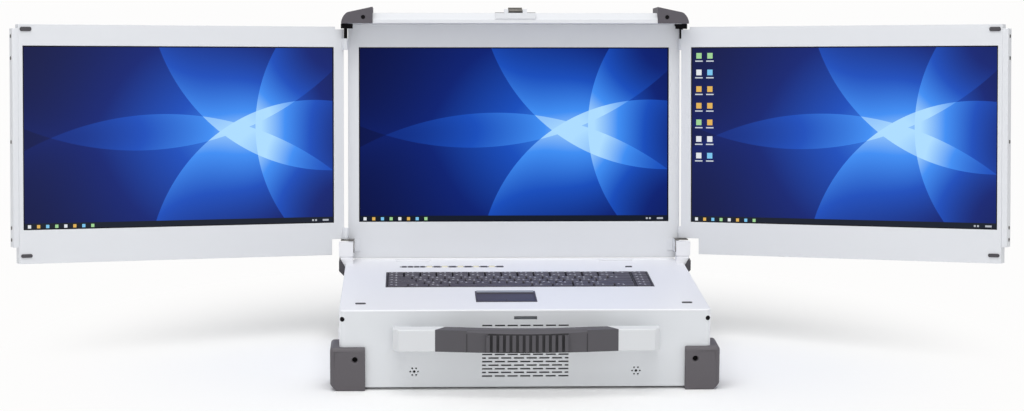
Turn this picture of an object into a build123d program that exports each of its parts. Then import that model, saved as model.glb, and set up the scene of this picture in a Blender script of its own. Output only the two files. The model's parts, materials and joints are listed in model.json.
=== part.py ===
"""Rugged portable computer with three screens.

A deep sheet-metal case carries the keyboard and the electronics.  A lid with the main screen
turns on two hinges at the rear corners of the case, and two screen wings turn on upright pins at
the sides of the lid.  Folded, the right wing lies on the main screen, the left wing lies on the
right one, and the lid closes over both.

Frame: millimetres, +X right, +Y to the back, +Z up.  The origin is the centre of the outer face
of the removable base cover, on which the case can be bolted to a tray.
"""

import os
from math import cos, radians, sin

from build123d import *

os.makedirs("parts", exist_ok=True)

# ---------------------------------------------------------------- driving dimensions
# screens, the same 16:9 panel three times
panel_width = 382.08
panel_height = 214.92
panel_thickness = 6.0
panel_border = 3.5  # frame of the panel hidden behind its bezel

# case
case_margin = 2.85  # the case is this much wider than the lid on each side
case_depth = 309.0
case_height = 87.5
cover_thickness = 1.5  # base cover, lies under the case
sheet = 1.5  # folded sheet of the case
deck_thickness = 2.0
front_thickness = 2.0
corner_radius = 6.0
foot_drop = 1.5  # bumpers reach this far below the base cover

# lid
lid_lean = 6.29  # degrees back from upright in the open position
lid_hinge_inset = 20.87  # hinge axis in front of the rear wall of the case
lid_hinge_rise = 17.2  # above the deck
lid_hinge_below = 139.1  # hinge axis below the centre of the main panel
lid_deck_gap = 2.4  # between the closed lip and the deck
lid_margin = 13.26  # from the picture to the side of the lid
lid_top = 149.0  # above the centre of the main panel
lid_bottom = 152.0  # below the centre of the main panel
lid_thickness = 22.0
lid_wall = 1.6
bezel_thickness = 2.0
lip_cover = 1.6  # the lip reaches this far past the folded wings
lip_bottom = 136.0
lip_edge = 140.8  # top of the upright front strip of the lip
lip_slope = 12.0  # run of the slope behind that strip

# wings
wing_thickness = 16.0
wing_top = 132.4
wing_bottom = 146.8
wing_margin = 12.8  # from the inner edge to the picture
wing_outer_margin = 5.12  # from the picture to the side cover
wing_cover_width = 7.0
wing_cover_half = 127.5
fold_gap = 2.47  # between the main bezel and the folded right wing
stack_gap = 2.53  # between the folded right wing and the folded left wing
wing_wall = 1.6
wing_inner_wall = 4.0
wing_bezel = 1.5
pivot_radius = 2.2
pivot_gap = 0.05  # running clearance, on the radius
knuckle_radius = 3.3
knuckle_height = 14.0
leaf_thickness = 1.2
leaf_arm = 3.0  # width of the arm where the pivot stands in front of the wing
# how far each wing is opened in front of the lid, in degrees
left_open = 21.08
right_open = 27.44
# pivots outboard of the side of the lid
left_pivot_out = 2.5
right_pivot_out = 1.4
# front face of the wing ahead of its pivot
left_face_ahead = -5.13
right_face_ahead = 3.53
# inner edge of the wing outboard of its pivot
left_edge_out = 0.59
right_edge_out = 1.38
# lower inner corner cut away for the hinge of the lid
left_relief = 15.5
right_relief = 23.5
top_relief_width = 11.0
top_relief_height = 3.2

# lid hinge
lug_inset = 9.45  # inner face of the lug inside the side of the case
lug_overhang = 8.05  # outer face of the lug past the side of the case
lug_half_height = 8.7
lug_half_depth = 3.5
hinge_pin_radius = 2.2
neck_inset = 1.2
ear_thickness = 1.0
ear_gap = 0.3
shelf_above_axis = 9.8
shelf_thickness = 1.2

# front bumpers and handle
bumper_overhang = 10.25  # past the side of the case, at the front
bumper_rear_overhang = 6.35
bumper_lap = 28.75  # inwards from the side of the case
bumper_proud = 6.0
bumper_rear_proud = 5.0
bumper_wrap = 42.0
bumper_top = 47.4  # above the base cover
bumper_chamfer = 7.0
handle_reach = 35.0
handle_half = 147.5
grip_end_front = 101.0
grip_end_back = 88.0
grip_shoulder = 66.3
grip_low = 49.5
grip_high = 74.0
rib_count = 13
rib_pitch = 7.2
rib_proud = 2.0

# keyboard and touchpad
keyboard_width = 310.0
keyboard_depth = 90.5
keyboard_front = -20.5
key_rows = 6
key_gap = 0.9
key_height = 0.8
key_taper = 12.0
frame_rim = 2.0
frame_drop = 6.5
side_column = 19.0
touchpad_width = 69.5
touchpad_depth = 62.5
touchpad_across = -19.2
touchpad_front = -111.0
button_depth = 12.0

# front vent
vent_rows = 15
vent_row_pitch = 4.1
vent_slot_length = 11.3
vent_slot_height = 1.8
vent_slot_pitch = 14.2
vent_slots = 7
vent_centre = 42.3
filter_thickness = 1.2
filter_border = 1.5

# ---------------------------------------------------------------- derived places
lid_width = panel_width + 2 * lid_margin
half_lid = lid_width / 2
case_width = lid_width + 2 * case_margin
wing_body_width = wing_margin + panel_width + wing_outer_margin  # without the side cover
half_width = case_width / 2
half_depth = case_depth / 2
case_bottom = cover_thickness
deck_top = case_bottom + case_height
deck_under = deck_top - deck_thickness
tray_floor = case_bottom + sheet
front_face = -half_depth
front_inside = front_face + front_thickness
rear_inside = half_depth - sheet
hinge_height = deck_top + lid_hinge_rise
lid_hinge_back = half_depth - lid_hinge_inset
lug_inner = half_width - lug_inset
lug_outer = half_width + lug_overhang
# folded, the right wing lies on the main bezel and the left wing on the right one
left_face_folded = fold_gap + wing_thickness + stack_gap
right_pivot_ahead = fold_gap + right_face_ahead
left_pivot_ahead = left_face_folded + left_face_ahead
left_pivot = half_lid + left_pivot_out
right_pivot = half_lid + right_pivot_out
lip_reach = left_face_folded + wing_thickness + lip_cover
lid_hinge_ahead = lip_reach + lid_deck_gap - lid_hinge_rise
lean_cos = cos(radians(lid_lean))
lean_sin = sin(radians(lid_lean))
lid_back = (0, lean_cos, -lean_sin)
lid_up = (0, lean_sin, lean_cos)
pivots = ((-1, left_pivot, left_pivot_ahead), (1, right_pivot, right_pivot_ahead))
lid_origin = Vector(0, lid_hinge_back, hinge_height)
lid_origin += Vector(*lid_back) * lid_hinge_ahead + Vector(*lid_up) * lid_hinge_below


def lid_point(across, back, up):
    """A point of the lid, given from the centre of the face of the main screen."""
    return lid_origin + Vector(across, 0, 0) + Vector(*lid_back) * back + Vector(*lid_up) * up


# seen from the front: x to the right, y up the lid, offsets towards the viewer
lid_face = Plane(lid_origin, x_dir=(1, 0, 0), z_dir=(0, -lean_cos, lean_sin))
# seen from the right: x to the back of the lid, y up the lid, offsets to the right
lid_side = Plane(lid_origin, x_dir=lid_back, z_dir=(1, 0, 0))
# seen from above: x to the right, y to the back of the lid, offsets up the lid
lid_level = Plane(lid_origin, x_dir=(1, 0, 0), z_dir=lid_up)
case_front = Plane((0, front_face, 0), x_dir=(1, 0, 0), z_dir=(0, -1, 0))
case_rear = Plane((0, half_depth, 0), x_dir=(-1, 0, 0), z_dir=(0, 1, 0))
hinge_side = Plane((0, lid_hinge_back, hinge_height), x_dir=(0, 1, 0), z_dir=(1, 0, 0))


def save(builder, name):
    """Label a finished piece and write its file."""
    builder.part.label = name
    export_step(builder.part, f"parts/{name}.step")


# ---------------------------------------------------------------- case
fan_size = 60.0
fan_across = 35.0
fan_middle = 44.0
fan_depth = 20.0
ports_across = -45.0
ports_up = 24.0
ports_width = 82.0
ports_height = 26.0
inlet_inset = 57.15  # from the side of the case
inlet_across = half_width - inlet_inset
inlet_up = 44.0
inlet_width = 28.0
inlet_height = 20.0
vent_slit = 3.5
vent_web = 3.5
bay_back = -20.0
bay_up = 30.0
bay_length = 112.0
bay_height = 34.0
board_lift = 7.0
board_size = 170.0
board_gap = 6.0  # between the board and the fan
board_back = rear_inside - fan_depth - board_gap - board_size / 2
cover_inset = 34.0
rim_inset = 46.0
carrier_inset = 5.0
boss_radius = 3.5
carrier_thickness = 1.2

with BuildPart() as tray:
    with BuildSketch(Plane.XY.offset(case_bottom)):
        RectangleRounded(case_width, case_depth, corner_radius)
        with Locations((0, front_face + front_thickness / 2)):
            Rectangle(case_width, front_thickness, mode=Mode.SUBTRACT)
    extrude(amount=case_height - deck_thickness)
    with BuildSketch(Plane.XY.offset(tray_floor)):
        RectangleRounded(case_width - 2 * sheet, case_depth - 2 * sheet, corner_radius - sheet)
    extrude(amount=case_height, mode=Mode.SUBTRACT)
    # opening over the base cover
    with BuildSketch(Plane.XY.offset(case_bottom)):
        Rectangle(case_width - 2 * rim_inset, case_depth - 2 * rim_inset)
    extrude(amount=sheet, mode=Mode.SUBTRACT)
    # rear wall: ports, power inlet and the round grille of the fan
    with BuildSketch(case_rear):
        with Locations((-ports_across, ports_up)):
            Rectangle(ports_width, ports_height)
        with Locations((-inlet_across, inlet_up)):
            Rectangle(inlet_width, inlet_height)
        with Locations((-fan_across, fan_middle)):
            with GridLocations(0, vent_slit + vent_web, 1, 7):
                Rectangle(fan_size * 0.7, vent_slit)
        with Locations((-inlet_across, inlet_up + 1.4 * inlet_height)):
            with GridLocations(vent_slit + vent_web, 0, 10, 1):
                Rectangle(vent_slit, 14)
    extrude(amount=-sheet, mode=Mode.SUBTRACT)
    # drive bay in the left wall, vents in the right wall
    with BuildSketch(Plane.YZ.offset(-half_width)):
        with Locations((bay_back, bay_up)):
            Rectangle(bay_length, bay_height)
    extrude(amount=sheet, mode=Mode.SUBTRACT)
    with BuildSketch(Plane.YZ.offset(half_width)):
        with Locations((60, 60)):
            with GridLocations(9.0, 0, 10, 1):
                Rectangle(4.0, 26)
    extrude(amount=-sheet, mode=Mode.SUBTRACT)
save(tray, "case_tray")

with BuildPart() as cover:
    with BuildSketch(Plane.XY) as cover_plan:
        Rectangle(case_width - 2 * cover_inset, case_depth - 2 * cover_inset)
        chamfer(cover_plan.vertices(), length=8)
    extrude(amount=cover_thickness)
    with BuildSketch(Plane.XY):
        with GridLocations(24.0, 0, 8, 1):
            Rectangle(4, 60)
    extrude(amount=cover_thickness, mode=Mode.SUBTRACT)
save(cover, "base_cover")

board_middle = (0.0, board_back)
with BuildPart() as standoffs:
    # standoffs stand on a carrier plate that bridges the opening of the case floor
    with BuildSketch(Plane.XY.offset(tray_floor)):
        with Locations((0, 0)):
            Rectangle(case_width - 2 * carrier_inset, case_depth - 2 * carrier_inset)
    extrude(amount=carrier_thickness)
    with BuildSketch(Plane.XY.offset(tray_floor + carrier_thickness)):
        with Locations(board_middle):
            with GridLocations(board_size - 16, board_size - 16, 2, 2):
                RegularPolygon(boss_radius, 6)
    extrude(amount=board_lift)
save(standoffs, "board_carrier")
board_level = tray_floor + carrier_thickness + board_lift

# ---------------------------------------------------------------- front panel
speaker_across = half_width - 83.25
speaker_radius = 13.0
speaker_rim = 3.0
speaker_frame = 8.0
speaker_magnet = 4.0
speaker_up = 19.1
speaker_hole = 1.6
speaker_ring = 4.3
keeper_width = 25.6
keeper_slot = 3.8
keeper_up = deck_top - 9.3
keeper_rim = 6.0
keeper_depth = 6.0
keeper_pocket = 3.6
bumper_screw_across = half_width - 17.35
bumper_screw_up = deck_top - 55.2

vent_half = ((vent_slots - 1) * vent_slot_pitch + vent_slot_length) / 2
short_length = vent_slot_length - vent_slot_pitch / 2
short_across = vent_half - short_length / 2

with BuildPart() as front:
    with BuildSketch(Plane.XY.offset(case_bottom)):
        RectangleRounded(case_width, case_depth, corner_radius)
        with Locations((0, front_inside + case_depth / 2)):
            Rectangle(case_width, case_depth, mode=Mode.SUBTRACT)
    extrude(amount=case_height - deck_thickness)
    # staggered vent: every second row is shifted by half a pitch and ends in two short slots
    for row in range(vent_rows):
        shift_row = row % 2
        with BuildSketch(case_front):
            row_up = vent_centre + (row - (vent_rows - 1) / 2) * vent_row_pitch
            with Locations((0, row_up)):
                with GridLocations(vent_slot_pitch, 0, vent_slots - shift_row, 1):
                    Rectangle(vent_slot_length, vent_slot_height)
            if shift_row:
                with Locations((-short_across, row_up), (short_across, row_up)):
                    Rectangle(short_length, vent_slot_height)
        extrude(amount=-front_thickness, mode=Mode.SUBTRACT)
    # latch keeper slot, and six holes round one for each speaker
    with BuildSketch(case_front):
        with Locations((0, keeper_up)):
            Rectangle(keeper_width, keeper_slot)
        with Locations((-speaker_across, speaker_up), (speaker_across, speaker_up)):
            RegularPolygon(speaker_hole, 8)
            with PolarLocations(speaker_ring, 6):
                RegularPolygon(speaker_hole / 1.5, 8)
    extrude(amount=-front_thickness, mode=Mode.SUBTRACT)
save(front, "front_panel")

with BuildPart() as dust_filter:
    with BuildSketch(case_front.offset(-front_thickness)):
        with Locations((0, vent_centre)):
            filter_height = (vent_rows - 1) * vent_row_pitch + vent_slot_height
            Rectangle(2 * (vent_half + filter_border), filter_height + 2 * filter_border)
    extrude(amount=-filter_thickness)
save(dust_filter, "dust_filter")

with BuildPart() as speakers:
    with BuildSketch(case_front.offset(-front_thickness)):
        with Locations((-speaker_across, speaker_up), (speaker_across, speaker_up)):
            RegularPolygon(speaker_radius, 16)
            RegularPolygon(speaker_radius - speaker_rim, 16, mode=Mode.SUBTRACT)
    extrude(amount=-speaker_frame)
    with BuildSketch(case_front.offset(-front_thickness - speaker_frame)):
        with Locations((-speaker_across, speaker_up), (speaker_across, speaker_up)):
            RegularPolygon(speaker_radius, 16)
    extrude(amount=-speaker_magnet)
save(speakers, "speakers")

with BuildPart() as keeper:
    with BuildSketch(case_front.offset(-front_thickness)):
        with Locations((0, keeper_up)):
            Rectangle(keeper_width + 2 * keeper_rim, keeper_slot + 8)
    extrude(amount=-keeper_depth)
    with BuildSketch(case_front.offset(-front_thickness)):
        with Locations((0, keeper_up)):
            Rectangle(keeper_width, keeper_slot)
    extrude(amount=-keeper_pocket, mode=Mode.SUBTRACT)
save(keeper, "latch_keeper")

# ---------------------------------------------------------------- deck plate
lights_across = (-105.0, -86.4, -67.5, -48.5, -29.3)
lights_back = half_depth - 49.0
light_width = 7.0
light_depth = 6.0
light_height = 0.8
window_depth = 5.0
window_left = -141.0
window_right = -14.9
button_across = 137.0
button_back = half_depth - 52.6
button_width = 8.0
button_height = 5.0
button_corner = 1.2
rail_height = 1.8
rail_width = 3.0
rail_inset = 10.0
rim_chamfer = 0.8
button_travel = 0.8
keyboard_middle = keyboard_front + keyboard_depth / 2
touchpad_middle = touchpad_front + touchpad_depth / 2
frame_width = keyboard_width + 2 * frame_rim
frame_depth = keyboard_depth + 2 * frame_rim
fit_gap = 0.2

window_middle = (window_left + window_right) / 2
light_places = [(across, lights_back) for across in lights_across]

with BuildPart() as deck:
    with BuildSketch(Plane.XY.offset(deck_under)):
        RectangleRounded(case_width, case_depth, corner_radius)
    extrude(amount=deck_thickness)
    with BuildSketch(Plane.XY.offset(deck_under)):
        with Locations((0, keyboard_middle)):
            Rectangle(frame_width, frame_depth)
        with Locations((touchpad_across, touchpad_middle)):
            Rectangle(touchpad_width, touchpad_depth)
        with Locations((button_across, button_back)):
            Rectangle(button_width + 2 * fit_gap, button_height + 2 * fit_gap)
        with Locations((window_middle, lights_back)):
            Rectangle(window_right - window_left, window_depth)
        with Locations(*light_places):
            Rectangle(light_width, light_depth)
    extrude(amount=deck_thickness, mode=Mode.SUBTRACT)
    top_rim = deck.faces().sort_by(Axis.Z)[-1].outer_wire().edges()
    chamfer(top_rim, length=rim_chamfer)
    # low rail along the rear edge
    with BuildSketch(Plane.XY.offset(deck_top)):
        with Locations((0, half_depth - rim_chamfer - rail_width / 2)):
            Rectangle(case_width - 2 * rail_inset, rail_width)
    extrude(amount=rail_height)
save(deck, "deck_plate")

with BuildPart() as lights:
    with BuildSketch(Plane.XY.offset(deck_under)):
        with Locations(*light_places):
            Rectangle(light_width, light_depth)
    extrude(amount=deck_thickness + light_height)
save(lights, "status_lights")

with BuildPart() as windows:
    with BuildSketch(Plane.XY.offset(deck_under)):
        with Locations((window_middle, lights_back)):
            Rectangle(window_right - window_left, window_depth)
        with Locations(*light_places):
            Rectangle(light_width, light_depth, mode=Mode.SUBTRACT)
    extrude(amount=deck_thickness)
save(windows, "status_windows")

with BuildPart() as power_button:
    with BuildSketch(Plane.XY.offset(deck_under + button_travel)) as button_plan:
        with Locations((button_across, button_back)):
            Rectangle(button_width, button_height)
        chamfer(button_plan.vertices(), length=button_corner)
    extrude(amount=deck_thickness)
save(power_button, "power_button")

pad_inset = 23.15  # from the side of the case
pad_front = -119.2
pad_length = 12.0
pad_width = 4.4
pad_height = 1.2
pad_corner = 1.3
with BuildPart() as deck_pads:
    with BuildSketch(Plane.XY.offset(deck_top)) as pad_plan:
        with Locations((pad_inset - half_width, pad_front), (half_width - pad_inset, pad_front)):
            Rectangle(pad_length, pad_width)
        chamfer(pad_plan.vertices(), length=pad_corner)
    extrude(amount=pad_height)
save(deck_pads, "deck_pads")

cable_cover_across = 124.6
cable_cover_width = 41.0
cable_cover_depth = 8.0
cable_cover_height = 1.6
cable_cover_gap = 0.4  # in front of the rail
rail_front = half_depth - rim_chamfer - rail_width
with BuildPart() as cable_covers:
    with BuildSketch(Plane.XY.offset(deck_top)):
        for side in (-1, 1):
            cover_middle = rail_front - cable_cover_gap - cable_cover_depth / 2
            with Locations((side * cable_cover_across, cover_middle)):
                Rectangle(cable_cover_width, cable_cover_depth)
    extrude(amount=cable_cover_height)
    chamfer(cable_covers.faces().sort_by(Axis.Z)[-1].edges(), length=0.6)
    chamfer(cable_covers.faces().sort_by(Axis.Z)[-2].edges(), length=0.6)
save(cable_covers, "cable_covers")

# ---------------------------------------------------------------- keyboard
key_floor = 1.5
key_base = deck_top - frame_drop + key_floor
key_bottom = deck_top - 2.6
row_pitch = keyboard_depth / key_rows
main_width = keyboard_width - side_column - frame_rim / 2
row_units = 15  # length of a row of the main block, in key widths
modifier_units = 1.25
space_units = 5.0


def key_row(first, last):
    """Widths of the caps of one row in key widths: a first cap, single caps and a last cap."""
    singles = round(row_units - first - last)
    return [first] + [1] * singles + [last]


function_rows = [key_row(1, 1)]
main_rows = [key_row(1, 2), key_row(1.5, 1.5), key_row(1.75, 2.25), key_row(2.25, 2.75)]
space_rows = [[modifier_units] * 3 + [space_units] + [modifier_units] * 5]
key_travel = 1.6

with BuildPart() as keyboard_frame:
    with BuildSketch(Plane.XY.offset(deck_top - frame_drop)):
        with Locations((0, keyboard_middle)):
            Rectangle(frame_width - 2 * fit_gap, frame_depth - 2 * fit_gap)
    extrude(amount=frame_drop)
    with BuildSketch(Plane.XY.offset(key_base)):
        with Locations((-keyboard_width / 2 + main_width / 2, keyboard_middle)):
            Rectangle(main_width, keyboard_depth)
        with Locations((keyboard_width / 2 - side_column / 2, keyboard_middle)):
            Rectangle(side_column, keyboard_depth)
    extrude(amount=frame_drop, mode=Mode.SUBTRACT)
save(keyboard_frame, "keyboard_frame")


def add_cap(left, width, back):
    """Add one tapered cap; left and back are the edges of its field."""
    with BuildSketch(Plane.XY.offset(key_bottom)) as cap_base:
        with Locations((left + width / 2, back - row_pitch / 2)):
            Rectangle(width - key_gap, row_pitch - key_gap)
    extrude(cap_base.sketch, amount=deck_top + key_height - key_bottom, taper=key_taper)


row_back = keyboard_front + keyboard_depth
for name, rows in (
    ("keys_function_row", function_rows),
    ("keys_main_block", main_rows),
    ("keys_space_row", space_rows),
):
    with BuildPart() as caps:
        for widths in rows:
            key_unit = main_width / sum(widths)
            cap_left = -keyboard_width / 2
            for units in widths:
                add_cap(cap_left, units * key_unit, row_back)
                cap_left += units * key_unit
            row_back -= row_pitch
    save(caps, name)

with BuildPart() as side_caps:
    for row in range(key_rows):
        side_back = keyboard_front + keyboard_depth - row * row_pitch
        add_cap(keyboard_width / 2 - side_column, side_column, side_back)
save(side_caps, "keys_side_column")

# ---------------------------------------------------------------- touchpad
touchpad_rim = 2.0
touch_depth = 36.0
frame_floor = 3.0
frame_lap = 4.0
frame_proud = 0.4
button_across_half = (touchpad_width - 2 * touchpad_rim) / 2
buttons_middle = touchpad_front + touchpad_rim + button_depth / 2
touch_middle = touchpad_front + button_depth + 2 * touchpad_rim + touch_depth / 2
with BuildPart() as touchpad_frame:
    with BuildSketch(Plane.XY.offset(deck_under - frame_floor)):
        with Locations((touchpad_across, touchpad_middle)):
            Rectangle(touchpad_width + 2 * frame_lap, touchpad_depth + 2 * frame_lap)
    extrude(amount=frame_floor)
    with BuildSketch(Plane.XY.offset(deck_under)):
        with Locations((touchpad_across, touchpad_middle)):
            Rectangle(touchpad_width - 2 * fit_gap, touchpad_depth - 2 * fit_gap)
    extrude(amount=deck_thickness + frame_proud)
    with BuildSketch(Plane.XY.offset(deck_under)):
        with Locations((touchpad_across, touch_middle)):
            Rectangle(touchpad_width - 2 * touchpad_rim, touch_depth)
        with Locations((touchpad_across, buttons_middle)):
            Rectangle(touchpad_width - 2 * touchpad_rim, button_depth)
    extrude(amount=deck_thickness + frame_proud, mode=Mode.SUBTRACT)
save(touchpad_frame, "touchpad_frame")

with BuildPart() as touch_surface:
    with BuildSketch(Plane.XY.offset(deck_under)):
        with Locations((touchpad_across, touch_middle)):
            Rectangle(touchpad_width - 2 * touchpad_rim, touch_depth)
    extrude(amount=deck_thickness - 0.6)
save(touch_surface, "touchpad_surface")

for side, name in ((-1, "left"), (1, "right")):
    with BuildPart() as click_button:
        with BuildSketch(Plane.XY.offset(deck_under + button_travel + 0.2)):
            middle = touchpad_across + side * button_across_half / 2
            with Locations((middle, buttons_middle)):
                Rectangle(button_across_half - 2 * fit_gap, button_depth - 2 * fit_gap)
        extrude(amount=deck_thickness - button_travel + 0.4)
        chamfer(click_button.faces().sort_by(Axis.Z)[-1].edges(), length=0.4)
    save(click_button, f"touchpad_button_{name}")

# ---------------------------------------------------------------- bumpers
recess_radius = 3.2
recess_floor = 1.5


def make_bumper(side, end):
    """One rubber corner bumper; side is -1 or 1 for left or right, end -1 front or 1 rear."""
    proud = bumper_proud if end < 0 else bumper_rear_proud
    overhang = bumper_overhang if end < 0 else bumper_rear_overhang
    inner_x = half_width - bumper_lap
    outer_x = half_width + overhang
    outer_y = half_depth + proud
    inner_y = half_depth - bumper_wrap
    with BuildPart() as bumper:
        with BuildSketch(Plane.XY.offset(-foot_drop)):
            with Locations((side * (inner_x + outer_x) / 2, end * (outer_y + inner_y) / 2)):
                Rectangle(outer_x - inner_x, outer_y - inner_y)
        extrude(amount=bumper_top + foot_drop)
        outer_faces = bumper.faces().filter_by(Axis.X).sort_by(Axis.X)
        outer_face = outer_faces[-1] if side > 0 else outer_faces[0]
        low_edge = outer_face.edges().filter_by(Axis.Y).sort_by(Axis.Z)[0]
        high_edge = outer_face.edges().filter_by(Axis.Y).sort_by(Axis.Z)[-1]
        chamfer(low_edge, length=bumper_chamfer)
        fillet(high_edge, radius=4)
        corners = bumper.edges().filter_by(Axis.Z).group_by(Axis.Y)[0 if end < 0 else -1]
        corner = corners.sort_by(Axis.X)[-1 if side > 0 else 0]
        fillet(corner, radius=5)
        # room for the case
        with BuildSketch(Plane.XY.offset(case_bottom)):
            RectangleRounded(case_width, case_depth, corner_radius)
        extrude(amount=case_height, mode=Mode.SUBTRACT)
        # recess for the screw, from the front or the rear
        wall = case_front if end < 0 else case_rear
        with BuildSketch(wall.offset(proud)):
            across = side * bumper_screw_across if end < 0 else -side * bumper_screw_across
            with Locations((across, bumper_screw_up)):
                RegularPolygon(recess_radius, 12)
        extrude(amount=-proud + recess_floor, mode=Mode.SUBTRACT)
    return bumper.part


for end, name in ((-1, "bumpers_front"), (1, "bumpers_rear")):
    with BuildPart() as bumper_pair:
        add(make_bumper(-1, end))
        add(make_bumper(1, end))
    save(bumper_pair, name)

# ---------------------------------------------------------------- handle
grip_height = grip_high - grip_low
bracket_arm = 20.0
bracket_arm_drop = 6.0
bracket_corner = 6.0
grip_depth = 18.0
grip_slope_run = 9.0
grip_slope_drop = 3.5
bow = 9.0
shoulder_bow = 0.55 * bow
rib_width = 4.0
rib_root = 1.5
rib_end = 1.5
handle_front = front_face - handle_reach
handle_back = handle_front + grip_depth

with BuildPart() as handle_brackets:
    for side in (-1, 1):
        # front block, which takes the slanted end of the grip
        with BuildSketch(Plane.XY.offset(grip_low)):
            Polygon(
                (side * handle_half, handle_back),
                (side * handle_half, handle_front + bracket_corner),
                (side * (handle_half - bracket_corner), handle_front),
                (side * grip_end_front, handle_front),
                (side * grip_end_back, handle_back),
            )
        extrude(amount=grip_height)
        # arm back to the case
        with BuildSketch(Plane.XY.offset(grip_low)):
            with Locations((side * (handle_half - bracket_arm / 2), (handle_back + front_face) / 2)):
                Rectangle(bracket_arm, front_face - handle_back)
        extrude(amount=grip_height - bracket_arm_drop)
    block_top = handle_brackets.faces().filter_by(Axis.Z).group_by(Axis.Z)[-1]
    chamfer(block_top.edges().filter_by(Axis.X).group_by(Axis.Y)[0], length=1.0)
save(handle_brackets, "handle_brackets")

with BuildPart() as grip:
    with BuildSketch(Plane.XY.offset(grip_low)):
        with BuildLine():
            Polyline(
                (-grip_shoulder, handle_front - shoulder_bow),
                (-grip_end_front, handle_front),
                (-grip_end_back, handle_back),
                (-grip_shoulder, handle_back - shoulder_bow / 2),
            )
            ThreePointArc(
                (-grip_shoulder, handle_back - shoulder_bow / 2),
                (0, handle_back - bow),
                (grip_shoulder, handle_back - shoulder_bow / 2),
            )
            Polyline(
                (grip_shoulder, handle_back - shoulder_bow / 2),
                (grip_end_back, handle_back),
                (grip_end_front, handle_front),
                (grip_shoulder, handle_front - shoulder_bow),
            )
            ThreePointArc(
                (grip_shoulder, handle_front - shoulder_bow),
                (0, handle_front - bow),
                (-grip_shoulder, handle_front - shoulder_bow),
            )
        make_face()
    extrude(amount=grip_height)
    # the upper front edge slopes down
    slope_back = handle_front + grip_slope_run
    with BuildSketch(Plane.YZ.offset(-grip_shoulder)):
        Polygon(
            (slope_back - bow, grip_high),
            (handle_front - 2 * bow, grip_high),
            (handle_front - 2 * bow, grip_high - grip_slope_drop),
            (handle_front - bow, grip_high - grip_slope_drop),
        )
    extrude(amount=2 * grip_shoulder, mode=Mode.SUBTRACT)
    # ribs for the fingers, set into the bowed front
    with BuildSketch(Plane.XY.offset(grip_low + rib_end)):
        with Locations((0, handle_front - bow - rib_proud / 2 + rib_root)):
            with GridLocations(rib_pitch, 0, rib_count, 1):
                Rectangle(rib_width, rib_proud + 2 * rib_root)
    extrude(amount=grip_height - 2 * rib_end - grip_slope_drop)
    fillet(grip.edges().filter_by(GeomType.CIRCLE).group_by(Axis.Y)[-1], radius=3)
save(grip, "handle_grip")

# ---------------------------------------------------------------- rear corners
guard_outer = half_width + 7.85
guard_lap = 17.15  # inwards from the side of the case, on the rear wall
guard_wall = 4.0
guard_lap_height = 9.0
guard_low = deck_top - 16.0
guard_high = deck_top + 4.0
guard_front = half_depth - 33.0
post_front = lid_hinge_back - 9.0
post_back = lid_hinge_back + 9.0
flare_high = 8.0
flare_low = -4.0
flare_width = half_width + 4.85
base_top = 6.5

with BuildPart() as lugs:
    for side in (-1, 1):
        # flared foot of the hinge, standing on the deck and lapping down its side
        with BuildSketch(Plane.XZ.offset(-post_back)):
            Polygon(
                (side * lug_inner, deck_top),
                (side * lug_inner, deck_top + base_top),
                (side * (lug_outer - 2.0), deck_top + base_top),
                (side * flare_width, deck_top + base_top - 2),
                (side * half_width, deck_top + flare_low),
                (side * half_width, deck_top),
            )
        extrude(amount=post_back - post_front)
        # upright lug on a narrower neck, with the hole for the hinge pin
        with BuildSketch(Plane.XY.offset(deck_top + base_top)):
            with Locations((side * (lug_inner + lug_outer) / 2, lid_hinge_back)):
                Rectangle(lug_outer - lug_inner - 2 * neck_inset, 2 * (lug_half_depth - neck_inset))
        extrude(amount=lid_hinge_rise - lug_half_height - base_top)
        with BuildSketch(hinge_side.offset(side * lug_inner)):
            Rectangle(2 * lug_half_depth, 2 * lug_half_height)
        extrude(amount=side * (lug_outer - lug_inner))
        with BuildSketch(hinge_side.offset(side * (lug_inner - 1))):
            Circle(hinge_pin_radius + pivot_gap)
        extrude(amount=side * 13, mode=Mode.SUBTRACT)
save(lugs, "hinge_lugs")

with BuildPart() as guards:
    for side in (-1, 1):
        slope = (flare_width - half_width) / (base_top - 2 - flare_low)
        inner_high = flare_width - slope * (base_top - 2 - (guard_high - deck_top))
        with BuildSketch(Plane.XZ.offset(-half_depth)):
            Polygon(
                (side * half_width, guard_low),
                (side * guard_outer, guard_low + 8),
                (side * guard_outer, guard_high),
                (side * inner_high, guard_high),
                (side * half_width, deck_top + flare_low),
            )
        extrude(amount=half_depth - guard_front)
        # the guard turns round the corner and lies on the rear wall
        with BuildSketch(Plane.XY.offset(guard_low + 2)):
            guard_inner = half_width - guard_lap
            with Locations((side * (guard_outer + guard_inner) / 2, half_depth)):
                Rectangle(guard_outer - guard_inner, 2 * guard_wall)
        extrude(amount=guard_lap_height)
    with BuildSketch(Plane.XY.offset(case_bottom)):
        RectangleRounded(case_width, case_depth, corner_radius)
    extrude(amount=case_height, mode=Mode.SUBTRACT)
save(guards, "rear_corner_guards")

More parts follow.
